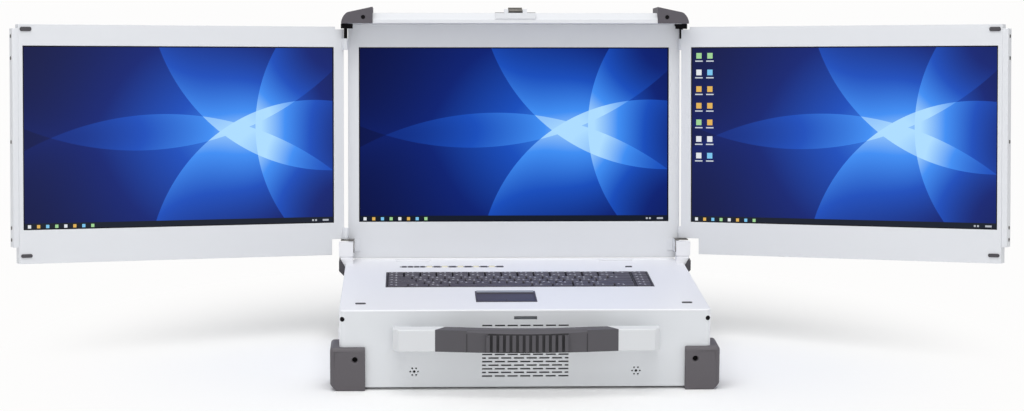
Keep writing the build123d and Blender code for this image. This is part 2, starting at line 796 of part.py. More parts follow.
# ---------------------------------------------------------------- inside the case
board_thickness = 1.6
board_top = board_level + board_thickness
sink_width = 84.0
sink_depth = 74.0
sink_plate = 5.0
sink_height = 29.0
sink_back = board_back + 8.0
fin_pitch = 7.0
fin_thickness = 1.6
memory_length = 66.0
memory_height = 30.0
memory_gap = 10.0  # between the heatsink and the memory modules
memory_across = sink_width / 2 + memory_gap
with BuildPart() as mainboard:
    with BuildSketch(Plane.XY.offset(board_level)):
        with Locations(board_middle):
            Rectangle(board_size, board_size)
    extrude(amount=board_thickness)
    with BuildSketch(Plane.XY.offset(board_top)):
        with Locations((50, board_back + 68), (62, board_back + 28), (-60, board_back - 22)):
            Rectangle(18, 14)
    extrude(amount=6)
    # upright memory modules in their sockets
    with BuildSketch(Plane.XY.offset(board_top)):
        with Locations((-memory_across, board_back + 28), (-memory_across - 8, board_back + 28)):
            Rectangle(4, memory_length)
    extrude(amount=memory_height)
save(mainboard, "mainboard")

with BuildPart() as heatsink:
    with BuildSketch(Plane.XY.offset(board_top)):
        with Locations((0, sink_back)):
            Rectangle(sink_width, sink_depth)
    extrude(amount=sink_plate)
    with BuildSketch(Plane.XY.offset(board_top + sink_plate)):
        with Locations((0, sink_back)):
            with GridLocations(fin_pitch, 0, 12, 1):
                Rectangle(fin_thickness, sink_depth)
    extrude(amount=sink_height - sink_plate)
save(heatsink, "heatsink")

supply_width = 96.0
supply_depth = 126.0
supply_height = 60.0
supply_sheet = 1.2
supply_gap = 14.0  # between the power supply and the rear wall, for the inlet
supply_across = inlet_across - 6.0
with BuildPart() as power_supply:
    with BuildSketch(Plane.XY.offset(tray_floor + carrier_thickness)):
        with Locations((supply_across, rear_inside - supply_gap - supply_depth / 2)):
            Rectangle(supply_width, supply_depth)
    extrude(amount=supply_height)
    # folded sheet box, open towards the rear vents of the case
    with BuildSketch(Plane.XY.offset(tray_floor + carrier_thickness + supply_sheet)):
        with Locations((supply_across, rear_inside - supply_gap - supply_depth / 2)):
            Rectangle(supply_width - 2 * supply_sheet, supply_depth - 2 * supply_sheet)
    extrude(amount=supply_height - 2 * supply_sheet, mode=Mode.SUBTRACT)
    with BuildSketch(Plane.XZ.offset(-rear_inside + supply_gap)):
        with Locations((supply_across, tray_floor + carrier_thickness + supply_height / 2)):
            with GridLocations(8, 0, 10, 1):
                Rectangle(4, supply_height - 16)
    extrude(amount=supply_sheet, mode=Mode.SUBTRACT)
save(power_supply, "power_supply")

port_openings = ((-30, 14, 14), (-10, 14, 14), (10, 16, 12), (30, 14, 6))
port_depth = 9.0
inlet_wall = 3.0
inlet_depth = 12.0
with BuildPart() as connectors:
    # block of data sockets
    with BuildSketch(case_rear.offset(-sheet - supply_gap)):
        with Locations((-ports_across, ports_up)):
            Rectangle(ports_width, ports_height)
        with Locations((-inlet_across, inlet_up)):
            Rectangle(inlet_width, inlet_height)
    extrude(amount=sheet + supply_gap)
    with BuildSketch(case_rear):
        for across, width, height in port_openings:
            with Locations((-ports_across + across, ports_up)):
                Rectangle(width, height)
    extrude(amount=-port_depth, mode=Mode.SUBTRACT)
    # power inlet with its three pins
    with BuildSketch(case_rear):
        with Locations((-inlet_across, inlet_up)):
            Rectangle(inlet_width - 2 * inlet_wall, inlet_height - 2 * inlet_wall)
    extrude(amount=-inlet_depth, mode=Mode.SUBTRACT)
    with BuildSketch(case_rear.offset(-inlet_depth)):
        with Locations((-inlet_across, inlet_up)):
            with GridLocations(7, 0, 3, 1):
                Rectangle(2, 5)
    extrude(amount=7)
save(connectors, "rear_connectors")

fan_rim = 2.5
hub_radius = 11.0
stub_radius = 1.5
rotor_length = 12.0
with BuildPart() as fan_frame:
    with BuildSketch(case_rear.offset(-sheet)):
        with Locations((-fan_across, fan_middle)):
            Rectangle(fan_size, fan_size)
            RegularPolygon(fan_size / 2 - fan_rim, 36, mode=Mode.SUBTRACT)
    extrude(amount=-fan_depth)
    # hub carrier on two spokes, with the stub that the rotor turns on
    with BuildSketch(case_rear.offset(-sheet - fan_depth + 2)):
        with Locations((-fan_across, fan_middle)):
            Rectangle(fan_size - fan_rim, 4)
            RegularPolygon(hub_radius, 16)
    extrude(amount=-2)
    with BuildSketch(case_rear.offset(-sheet - fan_depth + 2)):
        with Locations((-fan_across, fan_middle)):
            Circle(stub_radius)
    extrude(amount=10)
save(fan_frame, "fan_frame")

with BuildPart() as rotor:
    with BuildSketch(case_rear.offset(-sheet - fan_depth + 3)):
        with Locations((-fan_across, fan_middle)):
            Circle(hub_radius)
            with PolarLocations(17.5, 7):
                Rectangle(15, 6, rotation=25)
    extrude(amount=rotor_length)
    with BuildSketch(case_rear.offset(-sheet - fan_depth + 3)):
        with Locations((-fan_across, fan_middle)):
            Circle(stub_radius + pivot_gap)
    extrude(amount=rotor_length, mode=Mode.SUBTRACT)
save(rotor, "fan_rotor")

drive_length = 100.0
drive_width = 74.0
drive_height = 24.0
drive_gap = 2.0
drive_middle = -half_width + sheet + drive_gap + drive_length / 2
door_lap = 4.0
door_thickness = 3.0
with BuildPart() as drive:
    with BuildSketch(Plane.XY.offset(tray_floor + carrier_thickness)):
        with Locations((drive_middle, bay_back)):
            Rectangle(drive_length, drive_width)
    extrude(amount=drive_height)
save(drive, "storage_drive")

with BuildPart() as drive_door:
    with BuildSketch(Plane.YZ.offset(-half_width)):
        with Locations((bay_back, bay_up)):
            RectangleRounded(bay_length + 2 * door_lap, bay_height + 2 * door_lap, door_lap)
    extrude(amount=-door_thickness)
    chamfer(drive_door.faces().sort_by(Axis.X)[0].edges(), length=1)
    with BuildSketch(Plane.YZ.offset(-half_width)):
        with Locations((bay_back, bay_up)):
            Rectangle(bay_length - 1, bay_height - 1)
    extrude(amount=sheet)
save(drive_door, "drive_door")


# ---------------------------------------------------------------- lid
def lid_outline(front):
    """Side outline of the lid and its lip; front is where the flat part below the lip starts."""
    return (
        (front, -lid_bottom),
        (lid_thickness, -lid_bottom),
        (lid_thickness, lid_top),
        (-lip_reach + lip_slope, lid_top),
        (-lip_reach, lip_edge),
        (-lip_reach, lip_bottom),
        (front, lip_bottom),
    )


driver_width = 122.0
driver_height = 72.0
driver_lift = 4.0
driver_thickness = 1.6
boss_inset = 6.0
with BuildPart() as lid_shell:
    with BuildSketch(lid_side.offset(-half_lid)):
        Polygon(*lid_outline(bezel_thickness))
    extrude(amount=lid_width)
    rear_edges = lid_shell.faces().sort_by(Axis.Y)[-1].edges()
    fillet(rear_edges, radius=4)
    # hollow for the screen, running on into the lip
    with BuildSketch(lid_side.offset(-half_lid + lid_wall)):
        Polygon(
            (0, -lid_bottom + lid_wall),
            (lid_thickness - lid_wall, -lid_bottom + lid_wall),
            (lid_thickness - lid_wall, lid_top - lid_wall),
            (-lip_reach + lip_slope, lid_top - lid_wall),
            (-lip_reach + lid_wall, lip_edge - lid_wall / 2),
            (-lip_reach + lid_wall, lip_bottom + lid_wall),
            (bezel_thickness + lid_wall, lip_bottom + lid_wall),
            (bezel_thickness + lid_wall, lip_bottom - lid_wall),
            (0, lip_bottom - lid_wall),
        )
    extrude(amount=lid_width - 2 * lid_wall, mode=Mode.SUBTRACT)
    # bosses for the screen's driver board
    with BuildSketch(lid_face.offset(-lid_thickness + lid_wall)):
        with GridLocations(driver_width - 2 * boss_inset, driver_height - 2 * boss_inset, 2, 2):
            RegularPolygon(boss_radius, 6)
    extrude(amount=driver_lift)
save(lid_shell, "lid_shell")

with BuildPart() as main_bezel:
    with BuildSketch(lid_face.offset(-bezel_thickness)):
        with Locations((0, (lip_bottom - lid_bottom) / 2)):
            Rectangle(lid_width, lip_bottom + lid_bottom)
        Rectangle(panel_width, panel_height, mode=Mode.SUBTRACT)
    extrude(amount=bezel_thickness)
save(main_bezel, "main_bezel")

with BuildPart() as main_screen:
    with BuildSketch(lid_face.offset(-bezel_thickness)):
        Rectangle(panel_width + 2 * panel_border, panel_height + 2 * panel_border)
    extrude(amount=-panel_thickness)
save(main_screen, "main_screen")

with BuildPart() as lid_board:
    with BuildSketch(lid_face.offset(-lid_thickness + lid_wall + driver_lift)):
        Rectangle(driver_width, driver_height)
    extrude(amount=driver_thickness)
    driver_top = driver_lift + driver_thickness
    with BuildSketch(lid_face.offset(-lid_thickness + lid_wall + driver_top)):
        with Locations((-30, 10), (25, -12)):
            Rectangle(16, 16)
    extrude(amount=2)
save(lid_board, "lid_driver_board")

# rubber corners at the top of the lid
cap_outer = half_lid + 7.4
cap_inner = half_lid - 30.8
cap_high = 156.2
cap_shoulder = 149.4
cap_side = 145.0
cap_screw_across = half_lid - 19.3
cap_screw_up = 143.6
cap_front = lip_reach + 1.4
cap_back = lid_thickness + 3.0
with BuildPart() as lid_caps:
    for side in (-1, 1):
        with BuildSketch(lid_face.offset(cap_front)):
            Polygon(
                (side * cap_inner, lip_bottom),
                (side * cap_outer, lip_bottom),
                (side * cap_outer, cap_side),
                (side * (cap_outer - 1.4), cap_side + 2.6),
                (side * (cap_outer - 5.0), cap_shoulder),
                (side * cap_inner, cap_high),
            )
        extrude(amount=-cap_front - cap_back)
    with BuildSketch(lid_side.offset(-half_lid)):
        Polygon(*lid_outline(0))
    extrude(amount=lid_width, mode=Mode.SUBTRACT)
    with BuildSketch(lid_face.offset(cap_front)):
        with Locations((-cap_screw_across, cap_screw_up), (cap_screw_across, cap_screw_up)):
            RegularPolygon(2.6, 12)
    extrude(amount=-1.0, mode=Mode.SUBTRACT)
save(lid_caps, "lid_corner_caps")

# ---------------------------------------------------------------- lid hinge brackets and pins
ear_inner = lug_inner - ear_gap - ear_thickness
shelf_outer = half_lid + 8.7
flange_width = 8.0
flange_thickness = 0.8
shelf_front = 22.0
axis_up = -lid_hinge_below
ear_low = axis_up - 4.5
ear_front = lid_hinge_ahead + 4.5
shelf_up = axis_up + shelf_above_axis
with BuildPart() as hinge_brackets:
    for side in (-1, 1):
        # ear plate beside the lug
        with BuildSketch(lid_side.offset(side * ear_inner)):
            Polygon(
                (-ear_front, axis_up + 2.5),
                (-ear_front, axis_up - 2.5),
                (-ear_front + 2, ear_low),
                (0, ear_low),
                (0, shelf_up + shelf_thickness),
                (-shelf_front, shelf_up + shelf_thickness),
            )
            with Locations((-lid_hinge_ahead, axis_up)):
                Circle(hinge_pin_radius, mode=Mode.SUBTRACT)
        extrude(amount=side * ear_thickness)
        # shelf over the lug, which carries the lower pivot of the wing
        with BuildSketch(lid_level.offset(shelf_up)):
            with Locations((side * (ear_inner + shelf_outer) / 2, -shelf_front / 2)):
                Rectangle(shelf_outer - ear_inner, shelf_front)
        extrude(amount=shelf_thickness)
        # flange screwed to the frame of the screen
        with BuildSketch(lid_face):
            flange_middle = ear_inner + ear_thickness - flange_width / 2
            with Locations((side * flange_middle, (ear_low + shelf_up + shelf_thickness) / 2)):
                Rectangle(flange_width, shelf_up + shelf_thickness - ear_low)
        extrude(amount=flange_thickness)
save(hinge_brackets, "lid_hinge_brackets")

with BuildPart() as hinge_pins:
    for side in (-1, 1):
        with BuildSketch(hinge_side.offset(side * ear_inner)):
            Circle(hinge_pin_radius)
        extrude(amount=side * 12)
save(hinge_pins, "lid_hinge_pins")

# ---------------------------------------------------------------- wing pivots on the lid
bracket_low = 130.0
bracket_plate = 2.5
bracket_inner = half_lid - 6.3
bracket_outer = half_lid + 8.2
bracket_ahead = 6.1
bracket_behind = 5.0
knuckle_top = 118.0
lower_knuckle = shelf_up + shelf_thickness + 0.5
shelf_top = shelf_up + shelf_thickness
with BuildPart() as top_brackets:
    for side, across, ahead in pivots:
        plate_depth = bracket_ahead + bracket_behind
        plate_middle = -ahead + (bracket_behind - bracket_ahead) / 2
        with BuildSketch(lid_level.offset(lip_bottom - bracket_plate)):
            with Locations((side * (bracket_inner + bracket_outer) / 2, plate_middle)):
                Rectangle(bracket_outer - bracket_inner, plate_depth)
        extrude(amount=bracket_plate)
        with BuildSketch(lid_level.offset(bracket_low)):
            front_middle = -ahead - bracket_ahead + 0.75
            with Locations((side * (bracket_inner + bracket_outer) / 2, front_middle)):
                Rectangle(bracket_outer - bracket_inner, 1.5)
        extrude(amount=lip_bottom - bracket_low)
save(top_brackets, "wing_top_brackets")

with BuildPart() as wing_pins:
    for side, across, ahead in pivots:
        upper_low = knuckle_top - knuckle_height + 0.5
        with BuildSketch(lid_level.offset(upper_low)):
            with Locations((side * across, -ahead)):
                Circle(pivot_radius)
        extrude(amount=lip_bottom - bracket_plate - upper_low)
        with BuildSketch(lid_level.offset(shelf_top)):
            with Locations((side * across, -ahead)):
                Circle(pivot_radius)
        extrude(amount=knuckle_height)
save(wing_pins, "wing_pivot_pins")

# ---------------------------------------------------------------- latch
latch_half = 24.5
latch_pin_ahead = 37.0
latch_pin_up = 151.2
latch_pin_radius = 1.2
lever_half = 8.5
lever_thickness = 2.0
lever_length = 19.0
tooth_reach = 13.3
tooth_height = 4.4
lug_width = 5.0
with BuildPart() as latch_base:
    with BuildSketch(lid_side.offset(-latch_half)):
        Polygon(
            (-lip_reach, lip_edge),
            (-lip_reach - 0.9, lip_edge + 1),
            (-lip_reach - 0.9, lid_top - 0.2),
            (-lip_reach + lip_slope, lid_top + 0.6),
            (-lip_reach + lip_slope, lid_top),
        )
    extrude(amount=2 * latch_half)
    for side in (-1, 1):
        with BuildSketch(lid_side.offset(side * (lever_half + 0.4))):
            Polygon(
                (-lip_reach - 0.9, lid_top - 1),
                (-lip_reach - 0.9, latch_pin_up + 2.3),
                (-latch_pin_ahead + 2.4, latch_pin_up + 2.3),
                (-lip_reach + 8, lid_top - 0.5),
            )
        extrude(amount=side * lug_width)
    # pin riveted into both lugs
    with BuildSketch(lid_side.offset(-lever_half - lug_width)):
        with Locations((-latch_pin_ahead, latch_pin_up)):
            Circle(latch_pin_radius)
    extrude(amount=2 * (lever_half + lug_width))
save(latch_base, "latch_base")

with BuildPart() as latch_lever:
    with BuildSketch(lid_side.offset(-lever_half)):
        with Locations((-latch_pin_ahead, latch_pin_up)):
            Circle(2.0)
        Polygon(
            (-latch_pin_ahead, latch_pin_up - lever_thickness / 2),
            (-latch_pin_ahead + lever_length, latch_pin_up - lever_thickness / 2),
            (-latch_pin_ahead + lever_length, latch_pin_up + lever_thickness / 2),
            (-latch_pin_ahead + tooth_reach + 1.4, latch_pin_up + lever_thickness / 2),
            (-latch_pin_ahead + tooth_reach + 0.6, latch_pin_up + tooth_height),
            (-latch_pin_ahead + tooth_reach - 1.2, latch_pin_up + tooth_height),
            (-latch_pin_ahead + tooth_reach - 1.2, latch_pin_up + lever_thickness / 2),
            (-latch_pin_ahead, latch_pin_up + lever_thickness / 2),
        )
        with Locations((-latch_pin_ahead, latch_pin_up)):
            Circle(latch_pin_radius + pivot_gap, mode=Mode.SUBTRACT)
    extrude(amount=2 * lever_half)
save(latch_lever, "latch_lever")

# ---------------------------------------------------------------- wings
wing_pad_length = 13.5
wing_pad_height = 1.4
wing_pad_inset = 8.6
upper_pad_width = 5.0
upper_pad_up = 126.7
lower_pad_width = 4.2
lower_pad_up = -137.4
rest_pitch = 110.0
rest_width = 3.0
rest_inset = 15.0


def make_wing(name, side, angle, across, ahead, front_offset, edge_offset, relief):
    """The pieces of one screen wing, in the position to which it is opened."""
    turn_cos = cos(radians(angle))
    turn_sin = sin(radians(angle))
    # outward along the wing and forward out of its face, as (across, back) on the lid
    outward = Vector(side * turn_cos, -turn_sin)
    forward = Vector(-side * turn_sin, -turn_cos)
    corner = Vector(side * across, -ahead) + outward * edge_offset + forward * front_offset
    face = Plane(
        lid_point(corner.X, corner.Y, 0),
        x_dir=Vector(outward.X, 0, 0) * side + Vector(*lid_back) * (outward.Y * side),
        z_dir=Vector(forward.X, 0, 0) + Vector(*lid_back) * forward.Y,
    )
    level = Plane(face.origin, x_dir=face.x_dir, z_dir=lid_up)
    relief_top = -wing_cover_half
    body_outline = (
        (side * relief, -wing_bottom),
        (side * wing_body_width, -wing_bottom),
        (side * wing_body_width, wing_top),
        (side * top_relief_width, wing_top),
        (side * top_relief_width, wing_top - top_relief_height),
        (0, wing_top - top_relief_height),
        (0, relief_top),
        (side * relief, relief_top),
    )
    panel_middle = side * (wing_margin + panel_width / 2)
    pivot = (side * -edge_offset, front_offset)

    with BuildPart() as shell:
        with BuildSketch(face.offset(-wing_thickness)):
            Polygon(*body_outline)
        extrude(amount=wing_thickness - wing_bezel)
        inner_low = -wing_cover_half + wing_wall
        cavity_low = -wing_bottom + wing_wall
        with BuildSketch(face.offset(-wing_thickness + wing_wall)):
            Polygon(
                (side * (relief + wing_wall), cavity_low),
                (side * (wing_body_width - wing_wall), cavity_low),
                (side * (wing_body_width - wing_wall), wing_top - wing_wall - top_relief_height),
                (side * wing_inner_wall, wing_top - wing_wall - top_relief_height),
                (side * wing_inner_wall, inner_low),
                (side * (relief + wing_wall), inner_low),
            )
        extrude(amount=wing_thickness, mode=Mode.SUBTRACT)
        # ribs on the back wall, on which the panel rests
        with BuildSketch(face.offset(-wing_thickness + wing_wall)):
            with Locations((panel_middle, 0)):
                with GridLocations(rest_pitch, 0, 3, 1):
                    Rectangle(rest_width, panel_height - 2 * rest_inset)
        extrude(amount=wing_thickness - wing_wall - wing_bezel - panel_thickness)
        # groove round the pivot, where the pivot lies within the thickness
        with BuildSketch(level.offset(-wing_cover_half)):
            with Locations(pivot):
                Circle(knuckle_radius + pivot_gap)
        extrude(amount=wing_cover_half + wing_top, mode=Mode.SUBTRACT)
    save(shell, f"wing_{name}_shell")

    with BuildPart() as bezel:
        with BuildSketch(face.offset(-wing_bezel)):
            Polygon(*body_outline)
            with Locations((panel_middle, 0)):
                Rectangle(panel_width, panel_height, mode=Mode.SUBTRACT)
        extrude(amount=wing_bezel)
        with BuildSketch(level.offset(-wing_cover_half)):
            with Locations(pivot):
                Circle(knuckle_radius + pivot_gap)
        extrude(amount=wing_cover_half + wing_top, mode=Mode.SUBTRACT)
    save(bezel, f"wing_{name}_bezel")

    with BuildPart() as screen:
        with BuildSketch(face.offset(-wing_bezel)):
            with Locations((panel_middle, 0)):
                Rectangle(panel_width + 2 * panel_border, panel_height + 2 * panel_border)
        extrude(amount=-panel_thickness)
    save(screen, f"wing_{name}_screen")

    with BuildPart() as side_cover:
        cover_middle = side * (wing_body_width + wing_cover_width / 2)
        with BuildSketch(face.offset(-wing_thickness)):
            with Locations((cover_middle, 0)):
                Rectangle(wing_cover_width, 2 * wing_cover_half)
        extrude(amount=wing_thickness)
        outer = side_cover.faces().sort_by(Axis.X)[-1 if side > 0 else 0]
        fillet(outer.edges().filter_by(lambda edge: edge.length > wing_cover_half), radius=1.5)
    save(side_cover, f"wing_{name}_side_cover")

    with BuildPart() as pads:
        with BuildSketch(face) as pad_plan:
            with Locations((side * (wing_body_width - wing_pad_inset), upper_pad_up)):
                Rectangle(wing_pad_length, upper_pad_width)
            with Locations((side * (wing_body_width - wing_pad_inset), lower_pad_up)):
                Rectangle(wing_pad_length, lower_pad_width)
            chamfer(pad_plan.vertices(), length=pad_corner)
        extrude(amount=wing_pad_height)
    save(pads, f"wing_{name}_pads")

    with BuildPart() as knuckles:
        for low in (knuckle_top - knuckle_height, lower_knuckle):
            with BuildSketch(level.offset(low)):
                with Locations(pivot):
                    Circle(knuckle_radius)
                # leaf on the inner edge of the wing
                leaf_front = min(front_offset, 0)
                leaf_back = wing_thickness - 3
                with Locations((-side * leaf_thickness / 2, (leaf_front + leaf_back) / 2)):
                    Rectangle(leaf_thickness, leaf_back - leaf_front)
                if front_offset < 0:
                    with Locations((side * leaf_arm / 2, leaf_front / 2)):
                        Rectangle(leaf_arm, -leaf_front)
                with Locations(pivot):
                    Circle(pivot_radius + pivot_gap, mode=Mode.SUBTRACT)
            extrude(amount=knuckle_height)
    save(knuckles, f"wing_{name}_knuckles")


make_wing(
    name="left",
    side=-1,
    angle=left_open,
    across=left_pivot,
    ahead=left_pivot_ahead,
    front_offset=left_face_ahead,
    edge_offset=left_edge_out,
    relief=left_relief,
)
make_wing(
    name="right",
    side=1,
    angle=right_open,
    across=right_pivot,
    ahead=right_pivot_ahead,
    front_offset=right_face_ahead,
    edge_offset=right_edge_out,
    relief=right_relief,
)
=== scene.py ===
# %% [markdown]
# # Dressing a rugged portable computer
#
# The solids of the machine come from a CAD model that is already finished: a vented sheet-metal
# case with a keyboard deck and a handle, a lid with the main screen, and two screens that fold
# out at its sides.  This lesson keeps those solids where they are and gives them their looks:
# softened edges, screws, key marks, paint, rubber, lit screens, light and a camera.
#
# The first cell loads the solids.  Everything is in metres, X to the right, Y to the back, Z up,
# and a small size is written in millimetres, such as `0.5 * mm`.

# %% Load the solids
import json
from math import asin, atan, atan2, pi, radians

import bmesh
import bpy
from mathutils import Matrix, Vector

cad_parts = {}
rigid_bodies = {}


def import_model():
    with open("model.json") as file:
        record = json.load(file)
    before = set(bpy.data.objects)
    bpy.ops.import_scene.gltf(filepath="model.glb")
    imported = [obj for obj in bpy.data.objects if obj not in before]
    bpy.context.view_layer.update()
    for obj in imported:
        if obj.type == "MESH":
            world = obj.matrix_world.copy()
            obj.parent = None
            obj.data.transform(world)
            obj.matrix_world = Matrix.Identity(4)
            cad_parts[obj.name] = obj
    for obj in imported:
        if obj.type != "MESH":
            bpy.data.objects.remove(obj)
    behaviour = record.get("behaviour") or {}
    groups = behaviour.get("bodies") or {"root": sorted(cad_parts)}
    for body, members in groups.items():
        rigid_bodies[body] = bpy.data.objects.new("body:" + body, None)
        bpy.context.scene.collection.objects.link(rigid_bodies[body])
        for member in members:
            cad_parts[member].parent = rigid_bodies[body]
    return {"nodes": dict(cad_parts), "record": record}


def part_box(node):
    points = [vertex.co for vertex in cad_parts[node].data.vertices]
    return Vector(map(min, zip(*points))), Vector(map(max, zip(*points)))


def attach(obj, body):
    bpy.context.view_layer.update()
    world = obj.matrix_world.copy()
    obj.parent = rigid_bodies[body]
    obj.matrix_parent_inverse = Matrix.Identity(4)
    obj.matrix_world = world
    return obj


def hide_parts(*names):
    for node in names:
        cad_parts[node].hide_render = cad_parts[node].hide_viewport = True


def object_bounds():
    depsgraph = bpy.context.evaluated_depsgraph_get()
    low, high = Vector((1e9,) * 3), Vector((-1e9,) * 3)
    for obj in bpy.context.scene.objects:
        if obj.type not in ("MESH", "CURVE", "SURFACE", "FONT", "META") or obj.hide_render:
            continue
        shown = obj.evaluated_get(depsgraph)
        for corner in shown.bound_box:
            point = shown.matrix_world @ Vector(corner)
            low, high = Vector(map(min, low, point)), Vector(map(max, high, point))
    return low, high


mm = 0.001
for leftover in list(bpy.data.objects):
    bpy.data.objects.remove(leftover)
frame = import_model()
nodes = frame["nodes"]
cad_box = [list(corner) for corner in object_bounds()]
body_of = {}
for body, members in frame["record"]["behaviour"]["bodies"].items():
    for member in members:
        body_of[member] = body

# %% [markdown]
# ## Camera
#
# The camera stands a little left of the machine and almost three metres in front of it, with a
# long lens, so the sides of the case hardly taper.  The place, the lens and the direction are
# known, so they are set as numbers rather than by eye.  The view looks down by two means: the
# camera tilts, and the lens is shifted a little, which keeps upright edges more upright than
# tilting alone.  Last, the camera is rolled by a quarter of a degree, as one held by hand is.

# %% Set the camera
picture_width = 1024
sensor_width = 36.0
lens_in_pixels = 2506.0
camera_place = Vector((-0.1273, -2.8870, 0.6502))
middle_direction = Vector((0.0402, 0.9863, -0.1602)).normalized()
lens_shift = -0.05
camera_roll = 0.0044

camera_data = bpy.data.cameras.new("camera")
camera_data.sensor_width = sensor_width
camera_data.lens = lens_in_pixels / picture_width * sensor_width
camera_data.shift_y = lens_shift
camera = bpy.data.objects.new("camera", camera_data)
camera.location = camera_place
tilt = asin(middle_direction.z) - atan(lens_shift * picture_width / lens_in_pixels)
turn = -atan2(middle_direction.x, middle_direction.y)
aim = Matrix.Rotation(turn, 3, "Z") @ Matrix.Rotation(pi / 2 + tilt, 3, "X")
camera.rotation_euler = (aim @ Matrix.Rotation(camera_roll, 3, "Z")).to_euler()
bpy.context.scene.collection.objects.link(camera)
bpy.context.scene.camera = camera
print("lens", round(camera_data.lens, 1), "mm, tilt", round(tilt, 4), "turn", round(turn, 4))

# %% [markdown]
# ## Helpers for node trees
#
# A material in Blender is a tree of nodes.  Adding each node by hand takes four or five lines,
# so `wire` adds one node, sets its values and links it in a single call, and `calc` does the
# same for arithmetic.  A value may be a number or the output of another node.  An effect that
# several finishes share goes into a group, which `new_group` starts with its named sockets.

# %% Helpers for nodes
def wire(tree, kind, inputs=None, **settings):
    """Add one node with its settings, values and links."""
    node = tree.nodes.new(kind)
    for key, value in settings.items():
        setattr(node, key, value)
    for key, value in (inputs or {}).items():
        if isinstance(value, bpy.types.NodeSocket):
            tree.links.new(value, node.inputs[key])
        else:
            node.inputs[key].default_value = value
    return node


def calc(tree, operation, *values):
    """One step of arithmetic."""
    return wire(tree, "ShaderNodeMath", dict(enumerate(values)), operation=operation).outputs[0]


def blend_colours(tree, share, first, second):
    """Mix two colours: all of the first at a share of 0, all of the second at 1."""
    return wire(tree, "ShaderNodeMix", {0: share, 6: first, 7: second}, data_type="RGBA").outputs[2]


def colour_ramp(tree, value, stops, interpolation="LINEAR"):
    """Turn a number into a colour, by colours that stand at places from 0 to 1."""
    node = wire(tree, "ShaderNodeValToRGB", {0: value})
    ramp = node.color_ramp
    ramp.interpolation = interpolation
    ramp.elements.remove(ramp.elements[-1])
    ramp.elements[0].color = (*stops[0][1], 1)
    for place, colour in stops[1:]:
        ramp.elements.new(place).color = (*colour, 1)
    return node.outputs["Color"]


print("node helpers are ready")

# %% Helpers for groups and materials
def new_group(name, inputs, outputs):
    """An empty node group with named sockets, and its two end nodes."""
    group = bpy.data.node_groups.new(name, "ShaderNodeTree")
    for socket, kind, value in inputs:
        made = group.interface.new_socket(socket, in_out="INPUT", socket_type=kind)
        if value is not None:
            made.default_value = value
    for socket, kind in outputs:
        group.interface.new_socket(socket, in_out="OUTPUT", socket_type=kind)
    return group, group.nodes.new("NodeGroupInput"), group.nodes.new("NodeGroupOutput")


def new_material(name):
    """A new material, its node tree, its shader and the place of a point on the piece."""
    material = bpy.data.materials.new(name)
    material.use_nodes = True
    tree = material.node_tree
    place = wire(tree, "ShaderNodeTexCoord").outputs["Object"]
    return material, tree, tree.nodes["Principled BSDF"], place


print("group and material helpers are ready")

# %% [markdown]
# ## Grain and mottle, used by every finish
#
# Paint, rubber and plastic are never one flat colour.  Powder coat has a fine orange peel,
# rubber a soft grain, and every surface varies a little in tone where it has been handled.
# These effects are two node groups, built once.  Each finish uses them with its own values.
# They read the place of a point on the piece, so the pattern stays put when the piece moves.

# %% Group: fine grain
FLOAT = "NodeSocketFloat"
COLOUR = "NodeSocketColor"
VECTOR = "NodeSocketVector"

grain_group, grain_in, grain_out = new_group(
    "fine_grain",
    [("Place", VECTOR, None), ("Grains per metre", FLOAT, 900.0), ("Gloss", FLOAT, 0.5),
     ("Gloss change", FLOAT, 0.1)],
    [("Height", FLOAT), ("Roughness", FLOAT)],
)
fine = wire(grain_group, "ShaderNodeTexNoise",
            {"Vector": grain_in.outputs["Place"], "Scale": grain_in.outputs["Grains per metre"],
             "Detail": 3.0, "Roughness": 0.6})
slow = wire(grain_group, "ShaderNodeTexNoise",
            {"Vector": grain_in.outputs["Place"], "Scale": 14.0, "Detail": 4.0})
swing = calc(grain_group, "SUBTRACT", slow.outputs["Fac"], 0.5)
change = calc(grain_group, "MULTIPLY", swing, grain_in.outputs["Gloss change"])
rough = calc(grain_group, "ADD", change, grain_in.outputs["Gloss"])
grain_group.links.new(fine.outputs["Fac"], grain_out.inputs["Height"])
grain_group.links.new(rough, grain_out.inputs["Roughness"])
print("group", grain_group.name, "has", len(grain_group.nodes), "nodes")

# %% Group: slow mottle
mottle_group, mottle_in, mottle_out = new_group(
    "slow_mottle",
    [("Place", VECTOR, None), ("Colour", COLOUR, (0.8, 0.8, 0.8, 1)),
     ("Marks", COLOUR, (0.6, 0.6, 0.6, 1)), ("Amount", FLOAT, 0.05), ("Speckle", FLOAT, 0.02)],
    [("Colour", COLOUR)],
)
clouds = wire(mottle_group, "ShaderNodeTexNoise",
              {"Vector": mottle_in.outputs["Place"], "Scale": 9.0, "Detail": 5.0, "Roughness": 0.55})
specks = wire(mottle_group, "ShaderNodeTexNoise",
              {"Vector": mottle_in.outputs["Place"], "Scale": 2600.0, "Detail": 1.0})
mottled = mottle_in.outputs["Colour"]
for noise, strength in ((clouds, "Amount"), (specks, "Speckle")):
    share = calc(mottle_group, "MULTIPLY", noise.outputs["Fac"], mottle_in.outputs[strength])
    mottled = blend_colours(mottle_group, share, mottled, mottle_in.outputs["Marks"])
mottle_group.links.new(mottled, mottle_out.inputs["Colour"])
print("group", mottle_group.name, "has", len(mottle_group.nodes), "nodes")

# %% [markdown]
# ## Finishes
#
# One function makes all moulded, painted, rubber and bare metal finishes, because they differ
# only in colour, gloss and grain, and metal in one more value.  A finish has two colours, the
# second for its marks and clouds.  Values that are the same all over a surface, such as how
# metallic it is, are set on the shader itself.

# %% Function: a finish
bump_height = 0.3 * mm


